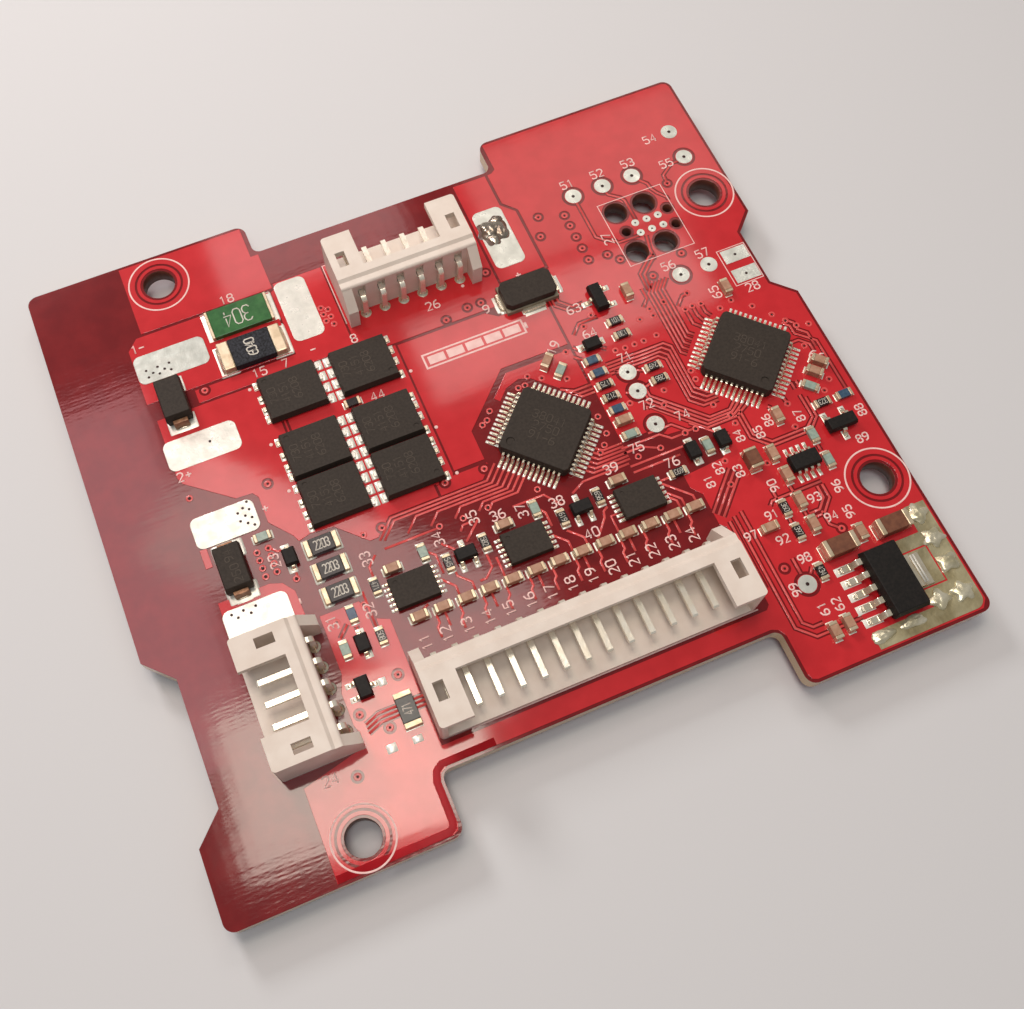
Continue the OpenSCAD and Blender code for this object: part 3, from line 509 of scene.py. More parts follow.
# the last area, on the right, runs on down, along the front and to the lower left corner
pours = [
    [[(-26, 31.72), (-13.2, 31.72), (-13.2, 28.1), (-12.4, 28.1), (-12.4, 23.75), (-26, 23.75)],
     circle(-22.7, 28.6, 1.85)],
    [[(-26.6, 23.45), (-12.9, 23.45), (-12.9, 16.05), (-27.7, 16.05), (-27.7, 22.3)]],
    [[(-23, 15.75), (-12.7, 15.75), (-12.7, 23.3), (-12.2, 23.6), (-12.2, 24.2), (-7.15, 24.2),
     (-7.15, 14.3), (-23, 14.3)]],
    [[(-6.95, 24.3), (8.6, 24.3), (8.6, 13.15), (5.9, 13.15), (-6.95, 13.15)]],
    [[(-27.3, 14.05), (-7.15, 14.05), (-7.15, 12.95), (-3.45, 12.95), (-3.45, -1.75), (-3.6, -2.2),
     (-5.55, -2.35), (-5.55, -3.45), (-10.4, -3.45), (-12, -5.05), (-12.95, -5.05), (-15.5, -2.5),
     (-17.7, -2.3), (-18.9, -2.6), (-19.2, -1.9), (-20.9, 0.2), (-20.9, 2.9), (-21.3, 3.5), (-22.9, 3.6),
     (-27, 6.9), (-27.3, 7.6)]],
    [[(-5.3, -2.4), (-3.4, -2), (-0.1, -2), (-0.1, -2.45), (-1.2, -3.5), (-5.3, -3.5)]],
    [[(-3.25, 12.85), (6, 12.85), (7.1, 12), (12.05, 12), (12.05, 6.55), (5, 6.55), (-0.2, 1.5),
     (-0.2, -1.6), (-3.25, -1.6)]],
    [[(3.1, 3.85), (5.2, 5.95), (12.05, 5.95), (12.05, 1.7), (10.3, 1.5), (7.2, 4.5), (6.1, 4.9),
     (4.6, 4.4), (3.55, 3.35)]],
    [[(-27.55, -0.02), (-26.9, -0.02), (-26.9, -1.95), (-27.55, -1.95)]],
    [[(-27.55, -5.4), (-22.7, -5.4), (-21.6, -5.8), (-20.8, -6.9), (-20.7, -9.4), (-27.55, -9.4)]],
    [[(8.85, 28), (12.42, 28), (12.42, 24.06), (13.64, 22.76), (13.64, 15.5), (8.85, 15.5)]],
    [[(13.7, 31.72), (34.6, 31.72), (35.03, 31.53), (35.22, 31.1), (35.22, 13.7), (33.22, 11.7),
     (33.22, 5.1), (35.22, 3.1), (35.22, -31), (34.6, -31.72), (18.15, -31.72), (17.68, -31.52),
     (17.48, -31.05), (17.48, -27.3), (17.1, -26.6), (16.5, -26.32), (-14.1, -26.32), (-14.8, -26.7),
     (-15.08, -27.3), (-15.08, -31.05), (-15.28, -31.52), (-15.75, -31.72), (-25.9, -31.72), (-25.9, -23.5),
     (-20.2, -22.2), (-19.9, -21), (-20.2, -20.2), (-20.2, -17.2), (-19.6, -15.6), (-19.6, -10),
     (-15.9, -10), (-15.2, -12), (-13.9, -12.6), (-13.9, -24.6), (17, -24.6), (17.4, -24.2), (17.4, -16.3),
     (16.9, -15.8), (16.9, -12.6), (16.1, -11.6), (16.1, -10.3), (20.3, -10), (21, -9.5), (21, -6.9),
     (20.5, -6.2), (16.4, -5.9), (16.2, -4.95), (12.3, -4.95), (12.3, 14.8), (13.94, 15.2), (13.94, 22.88),
     (12.72, 24.18), (12.72, 28), (13.2, 28.05), (13.7, 28.4)]],
]
for spots, radius in ((screwHoles[1:2], 1.85), (legHoles, 1.42), (pinHoles, 0.75), (screwHoles[2:], 1.85)):
    pours[-1] += [circle(x, y, radius) for x, y in spots]

# tracks as points along their middles; each has a channel of its own where it crosses an area
track = {"width": 0.23, "clear": 0.16}
tracks = [
    [(19.8, 21.2), (19.8, 16.7), (20.5, 16), (21.5, 15.5), (21.6, 15.2), (24, 15.15)],
    [(23.1, 21.3), (23.2, 20.9), (24.2, 20.1), (24.45, 19.6), (24.45, 17)],
    [(26.9, 21.3), (27.5, 20.6), (27.6, 19.8), (27.9, 19.2), (28.6, 18.3), (28.6, 17.9)],
    [(31.8, 21.9), (30.9, 21.9), (29.5, 20.9), (29.4, 19.8)],
    [(13.2, 12), (13.2, 11.2), (14.2, 10.2), (15.4, 10.2)],
    [(12.7, 12), (12.7, 10.9), (14, 9.7), (15.4, 9.7)], [(24.6, 14.9), (24.2, 13.2), (24.2, 12.1)],
    [(25.3, 7.2), (24.7, 7.1), (23.8, 6.2)],
    [(24, -6.2), (24, -9), (25.3, -10.3), (29, -10.3), (30, -9.5), (30, -7)],
    [(23.6, -6.6), (23.6, -9.2), (25.1, -10.7), (29.2, -10.7), (30.4, -9.6), (30.4, -7.4)],
    [(12, -7.55), (17.5, -7.55), (18, -7.1)], [(12, -8.2), (16.8, -8.2)],
    [(18.2, -6.4), (16.8, -6.4), (15.9, -5.6), (12, -5.6)], [(12, -6.1), (13.8, -6.1), (15.4, -6.9)],
    [(32.2, 0.6), (32.8, 0), (32.8, -0.9), (34.4, -2.4), (34.4, -8)],
    [(24.3, 5.5), (24.3, 3.9), (24.9, 3.2)], [(25.1, 5.7), (25.1, 4.6), (25.4, 3.7)],
    [(26, 5.6), (26, 4.6), (26.3, 4)], [(-8.4, -10.9), (-7.4, -12), (-7.4, -12.9)],
    [(-6.9, -10.7), (-6.9, -11.2), (-5.9, -12.2), (-5.9, -13)],
    [(-3.7, -10.3), (-3.7, -11.6), (-4.6, -12.4), (-5.2, -12.4)], [(-3, -10.9), (-3, -13.1)],
    [(-8.5, -8.1), (-7.95, -8.6), (-7.95, -10.5)], [(-7.1, -7.8), (-6.2, -8.7), (-6.2, -9)],
    [(-3.1, -6.9), (-4.9, -8.5)], [(-3.5, -6.9), (-4.6, -6.9), (-5, -7.4)],
    [(2.5, -10.9), (3.6, -12), (3.6, -13)], [(3.9, -11), (5.1, -12.2), (5.1, -13)],
    [(8.3, -10.3), (7.8, -10.6), (7.6, -11.2), (6.2, -12.8)], [(8.8, -11.3), (8.2, -11.3), (8.2, -13)],
    [(2.5, -8.2), (2.85, -8.7), (2.85, -10.1)], [(0.3, -7), (3.4, -7), (4.6, -8.6)],
    [(5.9, -7.9), (7.3, -7.2), (12, -7.2)], [(-10.3, -12.6), (-10.9, -12.9)],
    [(-19.2, -20.5), (-17.9, -20), (-13.7, -20)], [(-19.2, -20.9), (-17.9, -20.4), (-13.7, -20.4)],
    [(-19.2, -21.3), (-17.9, -20.8), (-13.7, -20.8)], [(-12, -6.3), (-6.6, -6.3)],
    [(22.3, 9), (22.4, 10.8), (23.9, 12.1), (24.3, 12.2)],
    [(21.9, 9), (22, 11), (23.7, 12.5), (24.3, 12.6)], [(10.2, 1.5), (11, 0.8), (12.3, 0.8)],
    [(9.7, 1.9), (10.7, 1.2), (12.3, 1.2)], [(9.3, 2.3), (10.5, 1.65), (12.3, 1.65)],
    [(15, -5.1), (17.4, -5.1), (18.6, -6.3), (19, -6.3)], [(19, -5.6), (21.5, -8), (22, -8)],
    [(31, -2.6), (31.9, -1.7), (32.8, -1.7), (33.6, -2.5), (33.6, -3.4)],
    [(32.6, 0.9), (33.3, 0.2), (33.3, -0.6), (34, -1.3), (34, -3)],
    [(29.9, -6.3), (29.9, -5.6), (29.3, -5)], [(12.3, 6), (13, 5.3)], [(15.3, 4.6), (14.9, 4.9)],
    [(21.4, 9.4), (21.4, 8.2), (20.6, 7.4)], [(14.9, 2.1), (15.4, 1.6)], [(14.9, -0.4), (15.3, -0.6)],
    [(16.9, 1.4), (17.5, 1.1)], [(16.9, -0.6), (17.6, -0.4)], [(12, 5), (12.6, 4.4)],
    [(13, 7.2), (14, 8.2), (16, 8.2)], [(-13.9, -8.4), (-13.9, -7.4), (-13, -6.5)],
    [(-15.3, -9.3), (-15.3, -12.9)], [(-16.9, -12.1), (-16.9, -12.8)],
    [(-21.9, -1.9), (-21, -2.8), (-20.5, -2.8)], [(-20.15, -5.3), (-20.15, -5.9)],
    [(-18.6, -12.6), (-17.6, -11.6)], [(13.9, -9.9), (14.8, -9.9)], [(13.9, -10.2), (16, -12.3), (16, -13)],
    [(13.6, -10.9), (14.9, -12.2), (14.9, -13)], [(13.6, -11.4), (14.4, -12.2), (14.4, -13)],
    [(26.6, -6.9), (26.9, -7.2)], [(28.4, -6.5), (28.5, -7.3)], [(30.4, -5.5), (30.4, -6)],
    [(22.9, -14.4), (22.9, -15.9)], [(24.6, -14.9), (24.6, -15.8)], [(29, -12.2), (29, -12.9)],
    [(22.2, -23.1), (22.6, -22.6)], [(26.9, -20.4), (26.1, -19.6), (26.1, -18.2)],
    [(23, -17.6), (23, -18.3)], [(24.6, -17.6), (24.6, -18.2)], [(22, -16), (22.4, -15.6), (27.5, -15.6)],
]


def bundle(count, *points):
    # tracks side by side; each point is x, y and what is added to them from track to track
    return [[(x + dx * i, y + dy * i) for x, y, dx, dy in points] for i in range(count)]


tracks += bundle(5, (22.65, 9.6, 0.4, 0), (21.75, 8.6, 0.4, 0), (21.75, 1.5, 0.4, 0.42),
                 (22.2, 1.05, 0.4, 0.42))
tracks += bundle(4, (14.5, 3.05, 0, -0.36), (20.6, 3.05, -0.36, -0.36), (21.2, 2.45, -0.36, -0.36),
                 (21.2, -2.4, -0.36, -0.36), (22.2, -3.4, -0.36, -0.36), (23, -3.4, -0.1, -0.36))
tracks += bundle(4, (16.8, -0.2, -0.26, -0.9), (16.9, -1.6, -0.26, -0.3), (20.4, -5.1, -0.26, -0.3),
                 (21.1, -5.8, -0.26, -0.3), (23.2, -5.8, 0.1, -0.3), (24.3, -4.9, 0.3, -0.3))
tracks += bundle(3, (20.3, -11.2, 0.36, -0.36), (16.9, -14.6, 0.36, -0.36))
tracks += [
    [(18.5, -15.6), (18.5, -27), (19.9, -28.4), (24.4, -28.4)],
    [(19.3, -15.4), (19.3, -26.8), (20, -27.5), (21, -27.5)], [(17.9, -15.9), (17.9, -22.8)],
    [(21.4, -21.2), (21.4, -22.8)], [(24.9, -18.5), (26.2, -18.5), (27.4, -17.3), (27.4, -15.9)],
    [(25, -18), (26, -18), (26.9, -17.1), (26.9, -15.9)],
]
# a fan from the left controller; each track ends at its own x
tracks += [[(0.5 + 0.36 * i, -2.35 - 0.36 * i), (-0.85 + 0.36 * i, -3.7 - 0.36 * i), (end, -3.7 - 0.36 * i),
            (end - 1.7 + 0.2 * i, -5.4 - 0.16 * i)]
           for i, end in enumerate((-10.4, -10.2, -8.2, -6.2, -4.1, -2.0, -1.2))]
tracks += bundle(6, (8, -6.3, 0.35, 0.35), (8.6, -6.8, 0.35, 0.35), (12.3, -6.8, 0, 0.35))
tracks += bundle(12, (-10, -13.8, 2.25, 0), (-10, -14.6, 2.25, 0), (-10.3, -14.9, 2.25, 0),
                 (-10.3, -15.9, 2.25, 0))
tracks += bundle(6, (-9.2, -13.8, 4.5, 0), (-9.2, -15.2, 4.5, 0))
layLines("trackCopper", tracks, track["width"], pourHigh, 0.0, "traceMask")

# plated holes under the mask: a low ring with a dark middle of painted shade, some in a clear ring of their
# own
clearVias = [
    (15.45, 21.15), (14.7, 18.9), (18, 20.3), (18, 18.95), (18, 17.45), (18, 16), (18, 14.5), (20.95, 13.3),
    (26.9, 11.6), (23.1, 10.3), (29.4, 19.8), (20, 14.3), (7.9, 17.15), (4.65, 14.1), (6.1, 14.1),
    (2.2, 13.6), (-22.1, 15.4), (-19.7, 3.85), (-26.85, 5.25), (-11.5, -4.3), (-6.6, -6.2), (-4.3, -6.3),
    (-1.8, -6.2), (3.1, -6.3), (-0.6, -2.5), (-4.5, -2.4), (-21.4, -24.3), (-17.4, -21.5), (-19.4, -19.5),
    (-15.1, -17.5), (20.3, -21.8), (26.9, -20.4),
]
plainVias = [
    (-8.7, 19.7), (-8.1, 19.3), (-8.7, 18.9), (-8.1, 18.4), (-8.7, 18.1), (-8.1, 17.5), (16, 4.1), (17, 4),
    (18, 4), (19, 4), (20.4, 4.1), (19.7, 6.3), (21.1, 7), (21.1, 6.2), (14.3, 7.7), (15.5, 8.6),
    (22.7, 7.2), (25.3, 7.2), (27.5, 4.4), (28.9, 4.8), (30.5, 3.4), (31.8, 1.8), (32.7, 0.7), (33.4, -0.2),
    (34.6, -0.5), (21.7, -0.7), (21.7, -1.7), (22, -4.8), (18.4, -1.6), (17.7, -3), (14.8, -1.6),
    (33, -2.5), (33.4, -6.6), (32.4, -7.5), (28.5, -7.4), (28, -9.8), (19.3, -6.4), (18.2, -6.4),
    (15.4, -6.9), (13.1, -6.9), (23, -6.4), (23, -7.3), (19.7, -12.7), (20.3, -10.4), (23.8, -12.1),
    (1, 1.7), (1.6, 2), (2.2, 2.8), (5.7, 4), (6.4, 4), (7, 4.8), (8.2, 4.1), (10.4, 3.1), (11.5, 5.8),
    (11.4, -1.7), (11.4, -3.6), (10.7, -4.6), (10, -5.2), (24.3, 5.6), (25.1, 5.7), (26, 5.6),
    (-20.3, -5.9), (-13.3, -4.3), (-18.4, -11.1), (-15.6, -10.5),
]
plainVias += [(x, y + dx) for x, dx in ((-22.8, 0.0), (-21.7, 0.05)) for y in (-2.2, -3.0, -3.8, -4.65)]
via = {"ring": 0.25, "ringWide": 0.17, "ringHigh": 0.03, "ringDown": 0.012, "middle": 0.13, "middleTop": 0.11,
       "middleHigh": 0.014, "clear": 0.47, "clearWide": 0.2}
layLines("viaRims", [ring(x, y, via["ring"], 14) for x, y in clearVias + plainVias], via["ringWide"],
         via["ringHigh"], pourHigh - via["ringDown"], "traceMask")

# channels between two areas, and clear rings
testSpots = [(19.8, 22.1), (23.1, 22.1), (26.45, 22.1), (32.5, 22.15), (25.7, 9.35), (16.05, 1.5),
             (16.05, -0.7), (16.05, -4.5), (21.45, -23.85)]
splits = [[(-16.3, 9.4), (-16.3, 7.9)], [(-15.9, 9.4), (-15.9, 7.9)], [(-5.45, -2.2), (-5.45, -3.6)]]
gap = {"screw": 2.3, "screwWide": 0.14, "splitWide": 0.18, "test": 1.05, "testWide": 0.3}
channels = [
    (track["width"] + 2 * track["clear"], tracks),
    (via["clearWide"], [ring(x, y, via["clear"], 16) for x, y in clearVias]),
    (gap["screwWide"], [ring(x, y, gap["screw"], 40) for x, y in screwHoles]),
    (gap["splitWide"], splits),
    (gap["testWide"], [ring(x, y, gap["test"], 28) for x, y in testSpots]),
]
cutShapes("copperAreas", pours, channels, pourHigh, pourEdge, 0.0, "copperMask")
# the mask's dark rim at the lower left
rimLines = [[(-25.85, -31.38), (-16, -31.38), (-15.55, -31.1), (-15.42, -30.6), (-15.42, -27.2),
             (-15.1, -26.4), (-14.5, -26), (-9.6, -25.98)]]
rim = {"width": 0.68, "high": 0.006, "down": 0.002}
layLines("rimBand", rimLines, rim["width"], rim["high"], pourHigh - rim["down"], "rimMask")
# dark spots of painted shade stand in for the shade down each via
viaSpots = bmesh.new()
for x, y in clearVias + plainVias:
    addSpot(viaSpots, x, y, pourHigh, via["middle"], via["middleTop"], via["middleHigh"], 10)
addPiece("viaMiddles", viaSpots, "paintedHoleShade")
print("copper laid")

# under the board: one broad area with its tracks guessed, and rings at the drillings
underRings = [(x, y, r) for spots, r in ((screwHoles, 2.1), (legHoles, 1.42), (pinHoles, 0.75))
              for x, y in spots]
underShapes = [
    [[(-27.6, -31.6), (-15.3, -31.6), (-15.3, -26.2), (17.7, -26.2), (17.7, -31.6), (35.1, -31.6),
      (35.1, 3.1), (33.1, 5.1), (33.1, 11.7), (35.1, 13.7), (35.1, 31.6), (13.7, 31.6), (13.7, 28),
      (8, 28), (8, -2), (-27.6, -2)]]
    + [circle(x, y, r) for x, y, r in underRings if y < 0 or x > 0],
    [[(-27.6, -1.6), (7.6, -1.6), (7.6, 28), (-13.2, 28), (-13.2, 31.6), (-27.6, 31.6)]]
    + [circle(x, y, r) for x, y, r in underRings if y > 0 and x < 0],
]
layShapes("copperUnder", underShapes, pourHigh, -boardThick - pourHigh, "copperMask")

# the drillings show brown resin and mask down their walls
liner = {"out": 0.004, "inner": 0.012, "end": 0.02, "slope": 0.01}
liners = bmesh.new()
for spots, radius in ((screwHoles, 1.6), (legHoles, 1.1875), (pinHoles, 0.495)):
    outer, inner = radius + liner["out"], radius - liner["inner"]
    foot, head = -boardThick + liner["end"], -liner["end"]
    profile = [(outer, foot), (inner, foot + liner["slope"]), (inner, head - liner["slope"]), (outer, head)]
    tube = turned(profile, True, 32)
    for x, y in spots:
        stamp(liners, tube, placed(x, y))
    tube.free()
addPiece("holeWalls", liners, "resinBrown")
print("underside laid")

# printed marks: strokes of a plain face, each drawn in a box 0.6 wide and 1 high
strokes = {
    "0": [[(0, 0.15), (0, 0.85), (0.15, 1), (0.45, 1), (0.6, 0.85), (0.6, 0.15), (0.45, 0), (0.15, 0),
           (0, 0.15)]],
    "1": [[(0.1, 0.8), (0.3, 1), (0.3, 0)]],
    "2": [[(0, 0.85), (0.15, 1), (0.45, 1), (0.6, 0.85), (0.6, 0.62), (0, 0), (0.6, 0)]],
    "3": [[(0, 0.85), (0.15, 1), (0.45, 1), (0.6, 0.85), (0.6, 0.65), (0.42, 0.52), (0.2, 0.52)],
          [(0.42, 0.52), (0.6, 0.36), (0.6, 0.15), (0.45, 0), (0.15, 0), (0, 0.15)]],
    "4": [[(0.45, 0), (0.45, 0.18)], [(0.45, 0.42), (0.45, 1), (0, 0.3), (0.6, 0.3)]],
    "5": [[(0.58, 1), (0.05, 1), (0, 0.58), (0.4, 0.62), (0.6, 0.45), (0.6, 0.15), (0.45, 0), (0.15, 0),
           (0, 0.15)]],
    "6": [[(0.5, 1), (0.15, 0.85), (0, 0.5), (0, 0.15), (0.15, 0), (0.45, 0), (0.6, 0.15), (0.6, 0.38),
           (0.45, 0.52), (0.1, 0.5)]],
    "7": [[(0, 1), (0.6, 1), (0.2, 0)]],
    "8": [[(0.15, 0.53), (0.02, 0.66), (0.02, 0.85), (0.15, 1), (0.45, 1), (0.58, 0.85), (0.58, 0.66),
           (0.45, 0.53), (0.15, 0.53), (0, 0.36), (0, 0.15), (0.15, 0), (0.45, 0), (0.6, 0.15), (0.6, 0.36),
           (0.45, 0.53)]],
    "9": [[(0.1, 0), (0.45, 0.15), (0.6, 0.5), (0.6, 0.85), (0.45, 1), (0.15, 1), (0, 0.85), (0, 0.62),
           (0.15, 0.48), (0.5, 0.5)]],
    "+": [[(0, 0.5), (0.6, 0.5)], [(0.3, 0.2), (0.3, 0.39)], [(0.3, 0.61), (0.3, 0.8)]],
    "-": [[(0, 0.5), (0.6, 0.5)]],
}
letterWide = 0.6


def writeLines(text, x, y, high, turn=0, space=0.86, wide=1.0):
    # the strokes of a line of text centred on a point and turned by degrees
    lines = []
    start = -(len(text) - 1) * space / 2 - letterWide / 2
    cos, sin = math.cos(math.radians(turn)), math.sin(math.radians(turn))
    for place, letter in enumerate(text):
        for stroke in strokes[letter]:
            line = []
            for px, py in stroke:
                u = (start + place * space + px) * high * wide
                v = (py - 0.5) * high
                line.append((x + u * cos - v * sin, y + u * sin + v * cos))
            lines.append(line)
    return lines


labels = [
    ("18", -17.0, 24.3, 0), ("15", -16.6, 15.25, 0), ("7", -14.0, 15.2, 0), ("8", -6.9, 15.2, 0),
    ("26", 1.6, 15.7, 0), ("9", 6.3, 13.2, 0), ("44", -7.0, 8.5, 0), ("51", 19.8, 23.7, 0),
    ("52", 23.2, 23.7, 0), ("53", 26.7, 23.7, 0), ("54", 30.2, 25.6, 0), ("55", 30.4, 22.1, 0),
    ("27", 20.8, 16.0, 90), ("56", 25.0, 10.8, 0), ("57", 28.8, 10.8, 0), ("63", 14.2, 9.9, 0),
    ("28", 31.6, 5.4, 0), ("71", 16.5, 3.1, 0), ("72", 16.2, -2.3, 0), ("74", 18.8, -4.6, 0),
    ("75", 13.3, -6.0, 0), ("76", 15.7, -8.6, 0), ("64", 14.5, 6.8, 0), ("81", 18.0, -11.7, 90),
    ("82", 19.4, -10.8, 90), ("83", 21.0, -11.8, 90), ("84", 22.7, -8.6, 90), ("85", 24.6, -9.0, 90),
    ("86", 25.9, -8.2, 90), ("87", 28.9, -8.9, 90), ("65", 27.9, 6.2, 90), ("66", 33.6, -3.9, -45),
    ("19", 10.6, 6.7, 45), ("88", 34.5, -10.6, 90), ("89", 33.2, -13.2, 0), ("90", 23.2, -14.3, 90),
    ("33", -13.9, -6.6, 90), ("34", -7.2, -7.3, 90), ("35", -3.5, -6.6, 90), ("36", -1.3, -7.2, 0),
    ("37", 0.9, -7.7, 90), ("38", 4.2, -8.1, 0), ("39", 10.2, -7.0, 0), ("40", 5.9, -12.1, 0),
    ("31", -18.8, -11.0, 90), ("32", -15.3, -11.2, 90), ("91", 21.7, -16.8, 0), ("92", 21.5, -19.3, 0),
    ("93", 26.1, -16.8, 0), ("94", 26.6, -19.0, 0), ("95", 28.3, -19.2, 90), ("96", 28.6, -16.6, 90),
    ("97", 19.0, -17.9, 0), ("98", 22.4, -21.6, 0), ("99", 20.2, -23.9, 90), ("61", 21.6, -26.4, 90),
    ("62", 23.0, -26.5, 90), ("23", -21.6, -3.6, 90), ("24", -23.6, -23.7, 0), ("+", 10.8, 15.6, 0),
    ("-", -11.0, 15.6, 0), ("-", -26.4, 22.3, 0), ("+", -26.2, 7.6, 0), ("+", -20.7, 1.6, 90),
    ("-", -20.7, -8.0, 90), ("1", -27.1, 22.3, 0), ("2", -27.0, 7.6, 0),
]
silkLines = []
for text, x, y, turn in labels:
    silkLines += writeLines(text, x, y, 0.78 if x > 17 and y < -7 else 0.9, turn)
cells = {"number": 11, "x": -11.8, "step": 2.0, "y": -15.75, "high": 0.9}
for place in range(14):
    silkLines += writeLines(str(cells["number"] + place), cells["x"] + place * cells["step"], cells["y"],
                            cells["high"], 90, 0.84)
inkHigh = 0.012
layLines("printedNumbers", silkLines, 0.15, inkHigh, pourHigh + 0.008, "silkInk")


def box(x, y, width, depth):
    return ["ring", (x - width / 2, y - depth / 2), (x + width / 2, y - depth / 2),
            (x + width / 2, y + depth / 2), (x - width / 2, y + depth / 2)]


# outlines: rings round the screw holes, boxes round the plug and the selector, the header's outline
outlines = [ring(-22.7, 28.6, 3.0, 64), ring(-22.7, -29.1, 2.74, 64), ring(32.4, 17.3, 2.98, 64),
            ring(32.4, -17.3, 2.98, 64), box(25.08, 16.08, 7.1, 7.85), box(31.66, 8.18, 3.02, 4.32),
            [(-6.95, 17.0), (-6.95, 24.2), (-3.5, 24.2)], [(7.45, 17.0), (7.45, 24.2), (4.0, 24.2)],
            [(-11.0, -24.25), (16.3, -24.25)]]
layLines("printedOutlines", outlines[:4], 0.16, inkHigh, pourHigh + 0.004, "silkInk")
layLines("printedBoxes", outlines[4:], 0.12, inkHigh, pourHigh + 0.004, "silkInk")

# a cell pictogram of plain bars, in place of words
cellMark = {"x": 3.7, "y": 10.05, "width": 10.4, "height": 1.5}
markLines = [box(cellMark["x"], cellMark["y"], cellMark["width"], cellMark["height"])]
markRight = cellMark["x"] + cellMark["width"] / 2
markLines.append([(markRight + 0.25, cellMark["y"] - 0.35), (markRight + 0.25, cellMark["y"] + 0.35)])
layLines("cellMark", markLines, 0.26, inkHigh, pourHigh, "silkInk")
markBars = [[box(x, 10.05, 1.7, 0.9)[1:]] for x in (-0.25, 1.72, 3.7, 5.68, 7.65)]
layShapes("cellMarkBars", markBars, inkHigh, pourHigh, "silkInk", edge=0.003)

firstMarks = bmesh.new()
for x, y in ((-18.1, 7.5), (-18.1, 2.4), (-18.1, 13.8), (-3.1, 3.2), (-3.1, -1.9), (-3.1, 9.7), (5.2, 16.6)):
    addSpot(firstMarks, x, y, pourHigh + 0.007, 0.18, 0.16, 0.014, 16)
addPiece("firstLeadDots", firstMarks, "silkInk")
print("marks printed")

# nodes that keep their shape
for nodeName, finishName in (("test_pads", "padTin"), ("contact_pads", "padTin"), ("select_pads", "padTin"),
                             ("heat_pad", "heatTin"), ("tab_pad", "heatTin")):
    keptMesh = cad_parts[nodeName].data
    keptMesh.materials.clear()
    keptMesh.materials.append(finishes[finishName])

# pieces with softened edges: finish, slot, edge in mm, steps, nodes
softened = [
    ("bareMask", "laminate", 0.05, 2, "circuit_board"),
    ("padTin", "tin", 0.07, 3, "cable_pads"),
    ("headerNylon", "header_plastic", 0.07, 2,
     "cell_header_housing link_header_housing charge_header_housing"),
    ("wire", "contact_metal", 0.05, 2, "cell_header_contacts link_header_contacts charge_header_contacts"),
    ("packageEpoxy", "chip_plastic", 0.06, 2, "power_transistors monitor_chip processor_chip"),
    ("packageEpoxy", "chip_plastic", 0.04, 2, "driver_chips"),
    ("smallEpoxy", "chip_plastic", 0.05, 2, "bus_chip"),
    ("smallEpoxy", "chip_plastic", 0.06, 2, "regulator"),
    ("packageEpoxy", "chip_plastic", 0.07, 2, "clamp_diodes"),
    ("wrapCopper", "tin", 0.05, 2, "clamp_diode_leads"),
    ("packageEpoxy", "chip_plastic", 0.06, 2, "fuse_cover"),
    ("fuseCeramic", "fuse_ceramic", 0.04, 2, "fuse_base"),
    ("smallEpoxy", "chip_plastic", 0.05, 2, "small_diodes small_transistors"),
    ("capacitorTan", "capacitor_tan", 0.04, 1, "cell_capacitors small_capacitors"),
    ("capacitorBrown", "capacitor_brown", 0.05, 1, "large_capacitors"),
    ("resistorBlack", "resistor_black", 0.03, 1, "black_resistors"),
    ("resistorBlue", "resistor_blue", 0.03, 1, "blue_resistors"),
    ("resistorGrey", "resistor_grey", 0.03, 1, "grey_resistors"),
    ("resistorBlack", "resistor_black", 0.03, 1, "thermistor"),
    ("resistorBlack", "resistor_black", 0.05, 2, "power_resistors"),
    ("shuntGreen", "shunt_green", 0.07, 2, "film_shunt"),
    ("shuntBlack", "resistor_black", 0.07, 2, "metal_shunt"),
    ("endTin", "tin", 0.05, 2, "chip_ends"),
    ("endTin", "tin", 0.08, 2, "large_capacitor_ends"),
    ("endTin", "tin", 0.06, 2, "power_resistor_ends film_shunt_ends"),
    ("endTin", "tin", 0.14, 3, "metal_shunt_ends"),
    ("tin", "tin", 0.05, 2, "fuse_ends power_transistor_leads"),
    ("landTin", "tin", 0.05, 2, "power_transistor_drains"),
    ("tin", "tin", 0.04, 1, "driver_chip_leads"),
    ("tin", "tin", 0.03, 1, "monitor_chip_leads processor_chip_leads bus_chip_leads"),
    ("tin", "tin", 0.05, 2, "regulator_leads regulator_tab"),
    ("tin", "tin", 0.03, 1, "small_diode_leads small_transistor_leads"),
]
for finish, slotName, edge, steps, nodeNames in softened:
    for nodeName in nodeNames.split():
        words = nodeName.split("_")
        pieceName = words[0] + "".join(word.capitalize() for word in words[1:]) + "Soft"
        softCopy(pieceName, nodeName, edge, steps, finish)
# the cable pad at the back left gets a darker, rougher copy of the pad tin: its darker colour is painted shade
padMesh = bpy.data.objects["cablePadsSoft"].data
padMesh.materials.append(finishes["shadedPadTin"])
for face in padMesh.polygons:
    if face.center.x < -0.02 and face.center.y > 0.013:
        face.material_index = 1
print("edges softened")


# lands and solder: node, its bodies, how a lead lies, land from the body side to beyond the end,
# land width over the lead's, fillet reach, share of the lead's height that the solder climbs
def bodyMiddles(*nodeNames):
    return [middle(points) for nodeName in nodeNames for points in islands(nodeName)]


